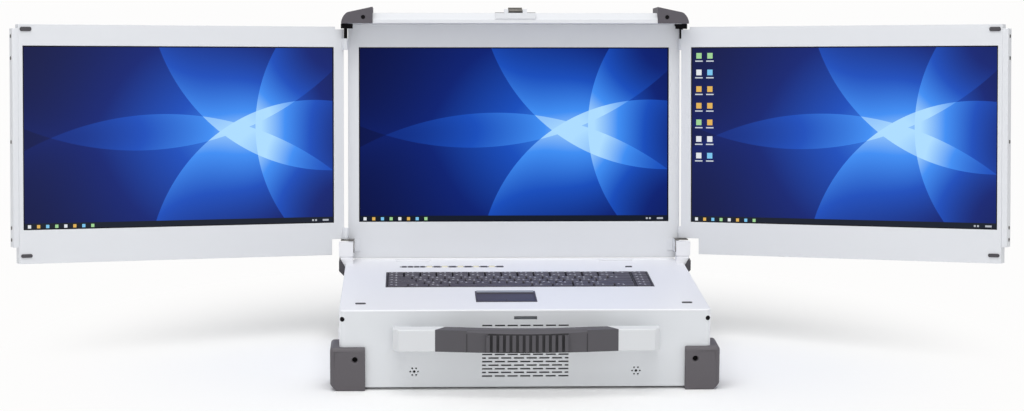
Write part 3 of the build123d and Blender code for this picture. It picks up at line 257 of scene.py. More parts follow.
def coated(name, colour, marks, gloss, grains, depth, amount=0.08, speckle=0.03, metal=0.0,
           specular=0.5):
    """A paint, rubber, plastic or metal finish with grain and mottle."""
    material, tree, shader, place = new_material(name)
    grain = wire(tree, "ShaderNodeGroup",
                 {"Place": place, "Grains per metre": grains, "Gloss": gloss}, node_tree=grain_group)
    mottle = wire(tree, "ShaderNodeGroup",
                  {"Place": place, "Colour": (*colour, 1), "Marks": (*marks, 1),
                   "Amount": amount, "Speckle": speckle}, node_tree=mottle_group)
    bump = wire(tree, "ShaderNodeBump",
                {"Height": grain.outputs["Height"], "Strength": depth, "Distance": bump_height})
    tree.links.new(mottle.outputs["Colour"], shader.inputs["Base Color"])
    tree.links.new(grain.outputs["Roughness"], shader.inputs["Roughness"])
    tree.links.new(bump.outputs["Normal"], shader.inputs["Normal"])
    shader.inputs["Metallic"].default_value = metal
    shader.inputs["Specular IOR Level"].default_value = specular
    return material


print("the function for finishes is ready")

# %% [markdown]
# The case, the lid and the handle brackets are powder coated in pale greys that are not quite
# the same: the lid and the brackets are darker than the deck.  The front of the case has the
# deck's paint written darker, which is painted shade for the upright front that gets less light.

# %% Mix the paints
case_paint = coated("case_paint", (0.86, 0.86, 0.885), (0.76, 0.77, 0.80),
                    gloss=0.42, grains=1400.0, depth=0.10)
# the deck's paint, darker: painted shade on the upright front of the case
front_shade_paint = coated("front_shade_paint", (0.745, 0.760, 0.78), (0.66, 0.68, 0.70),
                     gloss=0.42, grains=1400.0, depth=0.10)
lid_paint = coated("lid_paint", (0.745, 0.755, 0.78), (0.66, 0.67, 0.69),
                   gloss=0.38, grains=1800.0, depth=0.08)
bracket_paint = coated("bracket_paint", (0.70, 0.71, 0.725), (0.60, 0.61, 0.63),
                       gloss=0.45, grains=1400.0, depth=0.10)
print("paints:", case_paint.name, front_shade_paint.name, lid_paint.name, bracket_paint.name)

# %% [markdown]
# The bumpers, the grip, the lid's corners and the guards are black rubber.  Rubber that is
# handled turns dusty grey, so the marks are paler than the colour and there are many of them.
# The grooves of the grip get the darkest one, which is painted shade between the ribs; the
# seams of the grip are marked with it too.

# %% Mix the rubbers
bumper_rubber = coated("bumper_rubber", (0.085, 0.076, 0.085), (0.15, 0.14, 0.15),
                       gloss=0.62, grains=700.0, depth=0.35, amount=0.35, speckle=0.25)
grip_rubber = coated("grip_rubber", (0.060, 0.057, 0.066), (0.12, 0.11, 0.12),
                     gloss=0.58, grains=800.0, depth=0.3, amount=0.3, speckle=0.25)
cap_rubber = coated("cap_rubber", (0.070, 0.062, 0.075), (0.13, 0.12, 0.13),
                    gloss=0.60, grains=700.0, depth=0.3, amount=0.3, speckle=0.2)
guard_rubber = coated("guard_rubber", (0.045, 0.040, 0.050), (0.10, 0.10, 0.10),
                      gloss=0.60, grains=700.0, depth=0.3, amount=0.3, speckle=0.2)
shade_and_seam_rubber = coated("shade_and_seam_rubber", (0.018, 0.016, 0.020), (0.04, 0.04, 0.04),
                       gloss=0.65, grains=700.0, depth=0.3, amount=0.3, speckle=0.2)
print("rubbers:", bumper_rubber.name, grip_rubber.name, cap_rubber.name, guard_rubber.name,
      shade_and_seam_rubber.name)

# %% [markdown]
# The keys, the touchpad and the small parts of the deck are moulded plastic with a fine grain.

# %% Mix the plastics
key_plastic = coated("key_plastic", (0.050, 0.042, 0.060), (0.06, 0.06, 0.07),
                     gloss=0.50, grains=1500.0, depth=0.2, amount=0.2, speckle=0.2)
tray_plastic = coated("tray_plastic", (0.038, 0.033, 0.045), (0.08, 0.08, 0.09),
                      gloss=0.50, grains=1200.0, depth=0.2, amount=0.2, speckle=0.1)
grey_plastic = coated("grey_plastic", (0.30, 0.32, 0.34), (0.22, 0.23, 0.25),
                      gloss=0.45, grains=1200.0, depth=0.15)
button_plastic = coated("button_plastic", (0.035, 0.030, 0.042), (0.06, 0.06, 0.07),
                        gloss=0.45, grains=1200.0, depth=0.15)
pad_plastic = coated("pad_plastic", (0.052, 0.046, 0.062), (0.04, 0.04, 0.05),
                     gloss=0.50, grains=1200.0, depth=0.1)
black_plastic = coated("black_plastic", (0.020, 0.018, 0.022), (0.05, 0.05, 0.05),
                       gloss=0.5, grains=1000.0, depth=0.2, amount=0.2)
print("plastics:", key_plastic.name, tray_plastic.name, grey_plastic.name, button_plastic.name,
      pad_plastic.name, black_plastic.name)

# %% [markdown]
# Bare metal is the same finish with its metallic value turned up.  The circuit boards are green
# lacquer over copper, which shows as large paler marks.

# %% Mix the metals and the board
bare_aluminium = coated("bare_aluminium", (0.62, 0.63, 0.65), (0.50, 0.51, 0.52),
                        gloss=0.35, grains=2000.0, depth=0.1, amount=0.2, speckle=0.1, metal=0.9)
bare_steel = coated("bare_steel", (0.50, 0.49, 0.48), (0.35, 0.34, 0.33),
                    gloss=0.30, grains=1600.0, depth=0.1, amount=0.3, speckle=0.1, metal=1.0)
dark_steel = coated("dark_steel", (0.11, 0.105, 0.10), (0.25, 0.23, 0.20),
                    gloss=0.38, grains=1600.0, depth=0.1, amount=0.3, speckle=0.1, metal=0.8)
board_green = coated("board_green", (0.02, 0.13, 0.05), (0.05, 0.20, 0.10),
                     gloss=0.35, grains=400.0, depth=0.1, amount=0.4, speckle=0.1)
print("metals and board:", bare_aluminium.name, bare_steel.name, dark_steel.name, board_green.name)

# %% [markdown]
# The last few finishes are for small things: a black for small dark parts that is also the
# painted shade in the mouths of deep screw holes, the cream lenses of the lights, and the
# printed marks.

# %% Mix the finishes of the small parts
# black for small dark parts, and painted shade for deep holes and the latch's gap
black_and_shade = coated("black_and_shade", (0.004, 0.003, 0.004), (0.01, 0.01, 0.01),
                      gloss=0.7, grains=900.0, depth=0.1, amount=0.2, specular=0.1)
cream_lens = coated("cream_lens", (0.90, 0.84, 0.62), (0.80, 0.76, 0.60),
                    gloss=0.2, grains=500.0, depth=0.02, amount=0.2, speckle=0.0)
mark_ink = coated("mark_ink", (0.62, 0.62, 0.66), (0.45, 0.45, 0.48),
                  gloss=0.6, grains=900.0, depth=0.05)
legend_ink = coated("legend_ink", (0.040, 0.035, 0.050), (0.08, 0.08, 0.09),
                    gloss=0.6, grains=900.0, depth=0.05)
print("small parts:", black_and_shade.name, cream_lens.name, mark_ink.name, legend_ink.name)

# %% [markdown]
# ## The lit screens
#
# Each screen shows a calm picture in blues: overlapping translucent discs of light on a dark
# ground, with a dark bar of plain tiles along the bottom.  It could be a picture file, but one
# drawn by arithmetic is sharp at any size, so it is a node group.  It takes a place on the
# screen, from -1 to 1 across and up, and puts out a colour.

# %% Group: the picture
picture_group, picture_in, picture_out = new_group(
    "screen_picture",
    [("Place", VECTOR, None), ("Tiles", FLOAT, 0.0)],
    [("Colour", COLOUR)],
)
screen_shape = 16 / 9
place_axes = wire(picture_group, "ShaderNodeSeparateXYZ", {0: picture_in.outputs["Place"]})
place_across = place_axes.outputs["X"]
place_up = place_axes.outputs["Y"]
true_across = calc(picture_group, "MULTIPLY", place_across, screen_shape)


def step(operation, *values):
    """One step of arithmetic inside the picture group."""
    return calc(picture_group, operation, *values)


def square_distance(centre):
    """Square of the distance from a point of the picture."""
    aside = step("SUBTRACT", true_across, centre[0])
    above = step("SUBTRACT", place_up, centre[1])
    return step("ADD", step("MULTIPLY", aside, aside), step("MULTIPLY", above, above))


def disc_light(centre, radius, fade):
    """A disc with a crisp rim, whose light fades inwards."""
    depth = step("SUBTRACT", radius, step("SQRT", square_distance(centre)))
    inside = step("GREATER_THAN", depth, 0.0)
    return step("MULTIPLY", inside, step("EXPONENT", step("MULTIPLY", depth, -fade)))


def glow(centre, width):
    """A round glow without a rim."""
    return step("EXPONENT", step("MULTIPLY", square_distance(centre), -1 / width))


print("the functions of the picture are ready")

# %% [markdown]
# The light of all the glows and discs is added up, and falls off towards the edges.  A colour
# ramp then turns light into colour, from almost black through deep blue to pale blue.

# %% Add up the light of the picture
glows = (  # centre, width, strength
    ((0.95, 0.02), 0.40, 0.30), ((0.25, 0.0), 2.6, 0.43),
)
discs = (  # centre, radius, how fast the light fades, strength
    ((1.55, -1.55), 1.95, 3.0, 0.24), ((1.75, 1.75), 2.15, 3.2, 0.20),
    ((-0.2, -3.05), 3.3, 4.2, 0.15), ((-0.5, 3.2), 3.35, 4.0, 0.13), ((2.6, 0.1), 1.75, 3.0, 0.22),
)
blues = ((0.0, (0.001, 0.003, 0.040)), (0.22, (0.002, 0.015, 0.17)), (0.45, (0.008, 0.075, 0.50)),
         (0.72, (0.05, 0.27, 0.90)), (1.0, (0.42, 0.72, 1.0)))
fall_centre = (0.35, 0.0)
fall_width = 7.0
light = 0.0
for centre, width, strength in glows:
    light = step("MULTIPLY_ADD", glow(centre, width), strength, light)
for centre, radius, fade, strength in discs:
    light = step("MULTIPLY_ADD", disc_light(centre, radius, fade), strength, light)
light = step("MULTIPLY", light, glow(fall_centre, fall_width))
picture_colour = colour_ramp(picture_group, light, blues)
print("the picture has", len(glows), "glows and", len(discs), "discs")

# %% [markdown]
# The bar along the bottom is a dark rectangle with small squares on it.  A rectangle is where
# both distances from its centre are small, which is one Compare node for each axis.  Each layer
# covers the ones before it, as with cut paper.

# %% Lay the bar along the bottom
def box_mask(first, second, centre, half):
    """1 where two values are both within a half size of a centre, and 0 elsewhere."""
    return step("MULTIPLY", step("COMPARE", first, centre[0], half[0]),
                step("COMPARE", second, centre[1], half[1]))


def screen_box(centre, half):
    """1 inside a rectangle of the screen, given by its centre and its half sizes."""
    return box_mask(place_across, place_up, centre, half)


bar_middle = -0.965
bar_half_height = 0.035
bar_colour = (0.006, 0.010, 0.022, 1)
bar_tiles = 8
first_tile = -0.962
tile_pitch = 0.056
tile_half = (0.010, 0.018)
tile_tones = ((0.75, 0.78, 0.82), (0.75, 0.45, 0.10), (0.20, 0.55, 0.85), (0.35, 0.65, 0.30))
end_marks = ((0.945, 0.020), (0.880, 0.006), (0.860, 0.006))  # place across, half width
mark_half_height = 0.010
mark_colour = (0.45, 0.47, 0.52, 1)

layers = [(screen_box((0, bar_middle), (1.0, bar_half_height)), bar_colour)]
for count in range(bar_tiles):
    tile = screen_box((first_tile + count * tile_pitch, bar_middle), tile_half)
    layers.append((tile, (*tile_tones[count % len(tile_tones)], 1)))
for spot, mark_half in end_marks:
    layers.append((screen_box((spot, bar_middle), (mark_half, mark_half_height)), mark_colour))
for mask, colour in layers:
    picture_colour = blend_colours(picture_group, mask, picture_colour, colour)
print("the bar has", len(layers) - 1, "squares")

# %% [markdown]
# One screen also has two columns of tiles with a label under each.  They are one tile, repeated:
# the place is divided by the pitch of the columns and the rows, the whole part of the result
# says which tile it is, and the fraction says where in the tile.  White noise gives each tile
# one of four colours.  Last comes the unlit border of the panel.

# %% Lay the columns of tiles and the border
left_edge = -0.985
top_edge = 0.97
column_pitch = 0.075
row_pitch = 0.19
columns = 2.0
rows = 7.0
square_box = ((0.5, 0.36), (0.24, 0.17))  # centre and half sizes in the tile
label_box = ((0.5, 0.68), (0.34, 0.035))
label_colour = (0.6, 0.65, 0.72, 1)
tone_starts = (0.0, 0.35, 0.55, 0.8)
lit_half = (0.992, 0.986)
border_colour = (0.004, 0.004, 0.008, 1)

column = step("DIVIDE", step("SUBTRACT", place_across, left_edge), column_pitch)
row = step("DIVIDE", step("SUBTRACT", top_edge, place_up), row_pitch)
wanted = step("MULTIPLY", step("LESS_THAN", column, columns), step("LESS_THAN", row, rows))
wanted = step("MULTIPLY", wanted, picture_in.outputs["Tiles"])
which = wire(picture_group, "ShaderNodeCombineXYZ", {0: step("FLOOR", column), 1: step("FLOOR", row)})
chance = wire(picture_group, "ShaderNodeTexWhiteNoise", {"Vector": which.outputs[0]},
              noise_dimensions="2D")
tile_colour = colour_ramp(picture_group, chance.outputs["Value"], list(zip(tone_starts, tile_tones)),
                          "CONSTANT")
for box, colour in ((square_box, tile_colour), (label_box, label_colour)):
    mask = box_mask(step("FRACT", column), step("FRACT", row), *box)
    picture_colour = blend_colours(picture_group, step("MULTIPLY", mask, wanted), picture_colour,
                                   colour)
picture_colour = blend_colours(picture_group, screen_box((0, 0), lit_half), border_colour,
                               picture_colour)
picture_group.links.new(picture_colour, picture_out.inputs["Colour"])
print("the picture group has", len(picture_group.nodes), "nodes")

# %% [markdown]
# The group wants a place from -1 to 1, but a screen leans and is turned in space.  So each
# screen first finds its own centre and directions from the largest faces of its solid, and a
# Mapping node turns places on the piece into places on the screen.

# %% Functions: the directions of a panel
def panel_axes(node):
    """Centre of the front face of a flat panel, and its directions across, up and forward."""
    mesh = nodes[node].data
    # the four largest triangles are the front and the back of the panel
    faces = sorted(mesh.polygons, key=lambda face: face.area)[-4:]
    forward = min(faces, key=lambda face: face.normal.y).normal.copy()
    front_faces = [face for face in faces if face.normal.dot(forward) > 0]
    corners = {tuple(round(value, 6) for value in mesh.vertices[index].co)
               for face in front_faces for index in face.vertices}
    centre = sum((Vector(corner) for corner in corners), Vector()) / len(corners)
    # up is the direction of the panel's edge that climbs most
    edges = [mesh.vertices[a].co - mesh.vertices[b].co for face in front_faces
             for a, b in zip(face.vertices, face.vertices[1:])]
    climbing = max(edges, key=lambda edge: abs(edge.normalized().z))
    up_edge = climbing.normalized() * (1 if climbing.z > 0 else -1)
    return centre, up_edge.cross(forward).normalized(), up_edge, forward


def reach(node, axis, centre):
    """Least and greatest distance of a node from a point, along an axis."""
    distances = [(vertex.co - centre).dot(axis) for vertex in nodes[node].data.vertices]
    return min(distances), max(distances)


print("the main screen's centre is", [round(value, 4) for value in panel_axes("main_screen")[0]])

# %% [markdown]
# A screen is a dark film with the picture shining through it.  All three are 17.3 inches from
# corner to corner.  The two turned ones catch more of the room, so they get more shine.

# %% Light the screens
screen_size = (382.08 * mm, 214.92 * mm)
screen_gloss = 0.32
film_colour = (0.002, 0.002, 0.003, 1)
screens = {
    "main_screen": {"tiles": 0.0, "shine": 0.03},
    "wing_left_screen": {"tiles": 0.0, "shine": 0.14},
    "wing_right_screen": {"tiles": 1.0, "shine": 0.14},
}


def lit_screen(node, tiles, shine):
    """The material of one screen."""
    centre, sideways, upward, forward = panel_axes(node)
    turn_matrix = Matrix((sideways, upward, forward)).transposed()
    material, tree, shader, place = new_material(f"{node}_lit")
    mapping = wire(tree, "ShaderNodeMapping",
                   {"Vector": place, "Location": centre, "Rotation": turn_matrix.to_euler(),
                    "Scale": (screen_size[0] / 2, screen_size[1] / 2, 1)}, vector_type="TEXTURE")
    picture = wire(tree, "ShaderNodeGroup", {"Place": mapping.outputs[0], "Tiles": tiles},
                   node_tree=picture_group)
    grain = wire(tree, "ShaderNodeGroup", {"Place": place, "Gloss": screen_gloss},
                 node_tree=grain_group)
    tree.links.new(grain.outputs["Roughness"], shader.inputs["Roughness"])
    tree.links.new(picture.outputs["Colour"], shader.inputs["Emission Color"])
    shader.inputs["Base Color"].default_value = film_colour
    shader.inputs["Emission Strength"].default_value = 1.0
    shader.inputs["Specular IOR Level"].default_value = shine
    print(node, "faces", [round(value, 3) for value in forward])
    return material


def paint_node(node, material):
    """Give a CAD node its one material."""
    nodes[node].data.materials.clear()
    nodes[node].data.materials.append(material)


for node, values in screens.items():
    paint_node(node, lit_screen(node, **values))
print(len(screens), "screens are lit")

# %% [markdown]
# ## Softened edges
#
# No sheet, moulding or rubber block ends in a knife edge, and the thin line of light along a
# rounded edge is much of what makes a rendering look real.  The CAD solids are sharp where they
# needed no fillet.  So each visible piece is copied, its loose triangles are merged and its
# flat faces joined, and one bevel operator rounds what is still sharp.  The copy then stands
# for the node and moves with the same body.

# %% Functions: from a mesh to a piece
same_place = 0.002 * mm
flat_angle = radians(0.5)


def make_object(mesh, name, material):
    """Turn a bmesh into an object with its material."""
    data = bpy.data.meshes.new(name)
    mesh.to_mesh(data)
    mesh.free()
    data.materials.append(material)
    made = bpy.data.objects.new(name, data)
    bpy.context.scene.collection.objects.link(made)
    return made


def finish_piece(mesh, name, material, body):
    """Turn a bmesh into a piece that rides on a body."""
    piece = make_object(mesh, name, material)
    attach(piece, body)
    return piece


def merged_copy(node):
    """A bmesh of a CAD node with its triangles merged and its flat faces joined."""
    mesh = bmesh.new()
    mesh.from_mesh(nodes[node].data)
    bmesh.ops.remove_doubles(mesh, verts=mesh.verts, dist=same_place)
    bmesh.ops.dissolve_limit(mesh, angle_limit=flat_angle, verts=mesh.verts, edges=mesh.edges)
    return mesh


print("piece functions are ready")

# %% Function: a softened copy of a node
sharp_angle = radians(32)
widest_strip = 2.5 * mm


def shade_strips(mesh):
    """Smooth the narrow faces, which are strips of a curve, and leave the flat ones flat."""
    for face in mesh.faces:
        longest = max(edge.calc_length() for edge in face.edges)
        face.smooth = face.calc_area() / longest < widest_strip


def round_edges(mesh, edges, radius, steps):
    """Round some edges with the bevel operator."""
    bmesh.ops.bevel(mesh, geom=edges, offset=radius, offset_type="OFFSET", segments=steps,
                    profile=0.5, affect="EDGES", material=-1, clamp_overlap=True)


def softened(node, radius, material, mesh=None):
    """A copy of a node with its sharp edges rounded, in place of the node."""
    mesh = mesh or merged_copy(node)
    edges = [edge for edge in mesh.edges
             if len(edge.link_faces) == 2 and edge.calc_face_angle() > sharp_angle]
    round_edges(mesh, edges, radius, steps=2)
    shade_strips(mesh)
    piece = finish_piece(mesh, f"{node}_soft", material, body_of[node])
    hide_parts(node)
    return piece


print("the softening function is ready")

# %% [markdown]
# Each row of the table gives the radius of a piece's edges in millimetres and its finish.
# Folded sheet and thick rubber are rounder, and thin or closely fitted parts are crisper.

# %% Soften the pieces
soft_pieces = {
    "case_tray": (0.5, case_paint), "deck_plate": (0.3, case_paint),
    # the front panel takes the darker front paint, which is painted shade on the upright front
    "front_panel": (0.25, front_shade_paint), "cable_covers": (0.25, case_paint),
    "drive_door": (0.4, case_paint), "hinge_lugs": (0.6, case_paint), "base_cover": (0.3, case_paint),
    "handle_brackets": (0.9, bracket_paint), "handle_grip": (0.6, grip_rubber),
    "bumpers_front": (1.0, bumper_rubber), "bumpers_rear": (1.0, bumper_rubber),
    "rear_corner_guards": (0.8, guard_rubber), "deck_pads": (0.5, guard_rubber),
    "lid_shell": (0.5, lid_paint), "main_bezel": (0.4, lid_paint), "latch_base": (0.2, lid_paint),
    "latch_lever": (0.2, dark_steel), "keyboard_frame": (0.3, tray_plastic),
    "touchpad_frame": (0.3, tray_plastic), "touchpad_surface": (0.2, pad_plastic),
    "touchpad_button_left": (0.2, button_plastic), "touchpad_button_right": (0.2, button_plastic),
    "power_button": (0.2, black_plastic), "lid_hinge_brackets": (0.2, lid_paint),
    "wing_top_brackets": (0.2, black_and_shade), "wing_pivot_pins": (0.1, lid_paint),
    "latch_keeper": (0.2, grey_plastic),
}
for wing in ("left", "right"):
    soft_pieces[f"wing_{wing}_shell"] = (0.5, lid_paint)
    soft_pieces[f"wing_{wing}_bezel"] = (0.4, lid_paint)
    soft_pieces[f"wing_{wing}_side_cover"] = (0.5, lid_paint)
    soft_pieces[f"wing_{wing}_pads"] = (0.4, guard_rubber)
    soft_pieces[f"wing_{wing}_knuckles"] = (0.2, lid_paint)
dressed = {}
for node, (radius, material) in soft_pieces.items():
    dressed[node] = softened(node, radius * mm, material)
    print(node, len(nodes[node].data.polygons), "->", len(dressed[node].data.polygons), "faces")

# %% [markdown]
# The rubber corners of the lid are rounder than their solid, which has three flats there.  Its
# three long edges are moved onto a wider arc and rounded, and then the whole piece is softened.

# %% Round the rubber corners of the lid
lid_centre, lid_sideways, lid_upward, lid_forward = panel_axes("main_screen")
cap_side = reach("lid_corner_caps", lid_sideways, lid_centre)[1]
cap_top = reach("lid_shell", lid_upward, lid_centre)[1] + 0.4 * mm
# an edge's place and its new place, each inwards and down from the outer corner, in mm
wider_arc = {(0, 4.4): (0, 10.9), (1.4, 1.8): (2.3, 4.8), (5.0, 0): (6.7, 0)}
near = 0.3
long_edge = 20 * mm
arc_radius = 2.2 * mm
cap_softness = 0.9 * mm

caps = merged_copy("lid_corner_caps")
moved = set()
for vertex in caps.verts:
    across = (vertex.co - lid_centre).dot(lid_sideways)
    inwards = (cap_side - abs(across)) / mm
    down = (cap_top - (vertex.co - lid_centre).dot(lid_upward)) / mm
    outward = lid_sideways * (1 if across > 0 else -1)
    for (old_inwards, old_down), (new_inwards, new_down) in wider_arc.items():
        if abs(inwards - old_inwards) < near and abs(down - old_down) < near:
            vertex.co -= outward * (new_inwards - old_inwards) * mm
            vertex.co -= lid_upward * (new_down - old_down) * mm
            moved.add(vertex)
            break
long_edges = [edge for edge in caps.edges
              if moved.issuperset(edge.verts) and edge.calc_length() > long_edge
              and abs((edge.verts[0].co - edge.verts[1].co).normalized().dot(lid_forward)) > 0.99]
round_edges(caps, long_edges, arc_radius, steps=4)
softened("lid_corner_caps", cap_softness, cap_rubber, caps)
print("moved", len(moved), "corners and rounded", len(long_edges), "edges")

# %% [markdown]
# A few pieces have two tones: the rubber between the ribs of the grip is in shade, which is
# painted as a dark rubber, the upper pivot pins are blackened and the lower ones painted, the
# hinge plates are painted only where they lie flat on the lid, and the top edge of the latch's
# plate is black, which is painted shade for the gap there.  The faces are picked by their place
# and by the way they face, which is a normal's X, Y or Z from -1 to 1, and get a second
# material slot.

# %% Give some pieces a second tone
def paint_part(piece, material, chosen):
    """Give the faces for which chosen(centre, normal) is true another material."""
    piece.data.materials.append(material)
    slot = len(piece.data.materials) - 1
    for face in piece.data.polygons:
        if chosen(face.center, face.normal):
            face.material_index = slot


grip_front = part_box("handle_grip")[0][1]
rib_front = grip_front + 0.9 * mm
rib_back = grip_front + 10.5 * mm
rib_reach = 45.5 * mm
pins_low, pins_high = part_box("wing_pivot_pins")
pins_middle = (pins_low[2] + pins_high[2]) / 2
ear_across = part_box("lid_hinge_brackets")[1][0] - 17.0 * mm
latch_plate_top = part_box("latch_base")[1][2] - 4.16 * mm

# the faces between the ribs of the grip get the dark rubber as painted shade
paint_part(dressed["handle_grip"], shade_and_seam_rubber, lambda centre, normal: (
    abs(centre.x) < rib_reach and rib_front < centre.y < rib_back and normal.y < 0.3
    and abs(normal.z) < 0.4))
paint_part(dressed["wing_pivot_pins"], black_and_shade, lambda centre, normal: centre.z > pins_middle)
paint_part(dressed["lid_hinge_brackets"], dark_steel, lambda centre, normal: (
    abs(centre.x) > ear_across and abs(normal.x) < 0.5))
# the upward faces low on the latch's plate get black as painted shade for the gap along it
paint_part(dressed["latch_base"], black_and_shade, lambda centre, normal: (
    normal.z > 0.6 and centre.z < latch_plate_top))
print("second tones are painted")

# %% [markdown]
# ## Keys
#
# The caps are dark with pale marks.  Their edges are rounded like the other pieces.  Letters
# would be unreadable at this size, so plain bars give the same texture: two bars on a diagonal
# on each cap, a third on the caps that are wide enough, and none on the space bar.

# %% Make the keys and their marks
key_nodes = ("keys_function_row", "keys_main_block", "keys_space_row", "keys_side_column")
key_softness = 0.5 * mm
level_within = 0.1 * mm
mark_height = 0.06 * mm
space_bar_width = 60 * mm
three_bar_width = 16 * mm
cap_bars = (  # centre, from the back left corner of the cap, and size, in mm
    ((3.8, -3.2), (2.6, 2.0)), ((9.2, -8.0), (2.2, 1.8)), ((9.2, -3.2), (1.6, 1.4)),
)


def add_bar(mesh, centre, size):
    """Add a small block, given its centre and its three sizes."""
    place = Matrix.Translation(centre) @ Matrix.Diagonal((*size, 1))
    bmesh.ops.create_cube(mesh, size=1.0, matrix=place)


def mark_cap(marks, face, top):
    """Lay the bars of one cap on its top face."""
    low_x = min(vertex.co.x for vertex in face.verts)
    high_x = max(vertex.co.x for vertex in face.verts)
    high_y = max(vertex.co.y for vertex in face.verts)
    if high_x - low_x > space_bar_width:
        return
    bars = cap_bars if high_x - low_x > three_bar_width else cap_bars[:2]
    for (right, back), (width, depth) in bars:
        spot = (low_x + right * mm, high_y + back * mm, top + mark_height / 2)
        add_bar(marks, spot, (width * mm, depth * mm, mark_height))


for node in key_nodes:
    merged = merged_copy(node)
    top = max(vertex.co.z for vertex in merged.verts)
    cap_tops = [face for face in merged.faces
                if face.normal.z > 0.9 and face.calc_center_median().z > top - level_within]
    marks = bmesh.new()
    for face in cap_tops:
        mark_cap(marks, face, top)
    merged.free()
    finish_piece(marks, f"{node}_marks", mark_ink, body_of[node])
    softened(node, key_softness, key_plastic)
    print(node, "has", len(cap_tops), "caps")

# %% [markdown]
# ## Small marks on the deck and the grip
#
# Dark signs stand beside the indicator lights, a thin grey strip lies behind the touchpad, and
# the grip has a seam near each end.  They are too thin to be solids of their own, so they are
# flat blocks that stand a little proud of what carries them.

# %% Mark the lights
light_low, light_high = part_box("status_windows")
deck_height = light_high[2]
legend_depth = 9.0 * mm
legend_lift = 0.1 * mm
mark_thickness = 0.3 * mm
legend_places = (  # place across and width, in mm
    (-135.5, 5.5), (-128.0, 5.5), (-120.5, 5.5), (-113.2, 5.0), (-95.7, 8.0), (-77.0, 8.0),
    (-58.0, 8.0), (-38.9, 8.0), (-19.5, 8.0),
)
legends = bmesh.new()
for across, width in legend_places:
    add_bar(legends, (across * mm, (light_low[1] + light_high[1]) / 2, deck_height + legend_lift),
            (width * mm, legend_depth, mark_thickness))
finish_piece(legends, "light_legends", legend_ink, "case")
print(len(legend_places), "legends are marked, on a deck", round(deck_height / mm, 1), "mm high")

# %% Lay the strip behind the touchpad and the seams of the grip
pad_low, pad_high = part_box("touchpad_surface")
frame_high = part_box("touchpad_frame")[1]
strip_margin = 2.0 * mm
strip_depth = frame_high[1] - pad_high[1] - 2 * strip_margin
strip = bmesh.new()
add_bar(strip, ((pad_low[0] + pad_high[0]) / 2, (frame_high[1] + pad_high[1]) / 2, frame_high[2]),
        (pad_high[0] - pad_low[0], strip_depth, mark_thickness))
finish_piece(strip, "touchpad_strip", grey_plastic, body_of["touchpad_frame"])

seam_place = Vector((66.3, -194.5, 60.0)) * mm
seam_size = Vector((0.9, 0.6, 20.6)) * mm
seams = bmesh.new()
for side in (-1, 1):
    add_bar(seams, seam_place * Vector((side, 1, 1)), seam_size)
finish_piece(seams, "grip_seams", shade_and_seam_rubber, body_of["handle_grip"])
print("the strip is", round(strip_depth / mm, 1), "mm deep")

# %% [markdown]
# ## Finishes of the remaining nodes
#
# Nodes that keep their own mesh only need a material.  Most of them are inside the case.

# %% Assign the remaining finishes
plain_nodes = {
    "board_carrier": bare_aluminium, "heatsink": bare_aluminium, "storage_drive": bare_aluminium,
    "power_supply": bare_steel, "fan_frame": black_plastic, "fan_rotor": black_plastic,
    "speakers": black_plastic, "mainboard": board_green, "lid_driver_board": board_green,
    "rear_connectors": black_plastic, "dust_filter": black_plastic, "status_windows": tray_plastic,
    "status_lights": cream_lens, "lid_hinge_pins": bare_steel,
}
for node, material in plain_nodes.items():
    paint_node(node, material)
print(len(plain_nodes), "nodes painted")

# %% [markdown]
# ## Screws
#
# Socket screws sit on the sides and the back of the case, on the drive door, along the wings
# and on the backs of the lid and the wings.  One function turns a circle into a screw head:
# raised, inset for the rim, and pushed in for the socket.  The screws in the bumpers, the front
# corners and the lid's rubber corners are sunk so deep that only a dark round mouth shows,
# which is a plain disc of painted shade.  The screws of one part of the machine are one piece,
# because they are fixed to it.

# %% Functions: a socket screw and a dark hole
screw_head = 0.6 * mm
hole_disc = 0.3 * mm
ring_shares = (0.18, 0.30)  # widths of the rim and of the ring inside it, in radii
socket_share = 0.9  # depth of the socket, in heights of the head


def standing(centre, outward):
    """A matrix that stands a shape made on the XY plane on a surface."""
    return Matrix.Translation(centre) @ Vector(outward).to_track_quat("Z", "Y").to_matrix().to_4x4()


def raise_face(mesh, face, height):
    """Extrude a face along Z, and give the new vertices and the new face."""
    lifted = bmesh.ops.extrude_face_region(mesh, geom=[face])["geom"]
    verts = [item for item in lifted if isinstance(item, bmesh.types.BMVert)]
    bmesh.ops.translate(mesh, verts=verts, vec=(0, 0, height))
    return verts, next(item for item in lifted if isinstance(item, bmesh.types.BMFace))


def add_screw(mesh, centre, outward, radius):
    """Add a low round head with a socket, standing on a surface."""
    foot = bmesh.ops.create_circle(mesh, cap_ends=True, segments=12, radius=radius)["verts"]
    rim, top = raise_face(mesh, foot[0].link_faces[0], screw_head)
    for share in ring_shares:
        bmesh.ops.inset_region(mesh, faces=[top], thickness=radius * share, depth=0)
    socket = raise_face(mesh, top, -screw_head * socket_share)[0]
    bmesh.ops.delete(mesh, geom=[top], context="FACES_ONLY")
    head = {*foot, *rim, *socket}
    for vertex in list(head):
        for edge in vertex.link_edges:
            head.update(edge.verts)
    bmesh.ops.transform(mesh, matrix=standing(centre, outward), verts=list(head))


def add_hole(mesh, centre, outward, radius, height=hole_disc):
    """Add a plain round disc of painted shade, which stands for the dark mouth of a deep screw hole.
    """
    place = standing(centre, outward) @ Matrix.Translation((0, 0, height / 2))
    bmesh.ops.create_cone(mesh, cap_ends=True, segments=16, radius1=radius, radius2=radius,
                          depth=height, matrix=place)


def finish_screws(mesh, name, material, body):
    """Turn screws or holes into a piece, with all their faces outwards."""
    bmesh.ops.recalc_face_normals(mesh, faces=mesh.faces)
    finish_piece(mesh, name, material, body)


print("screw functions are ready")

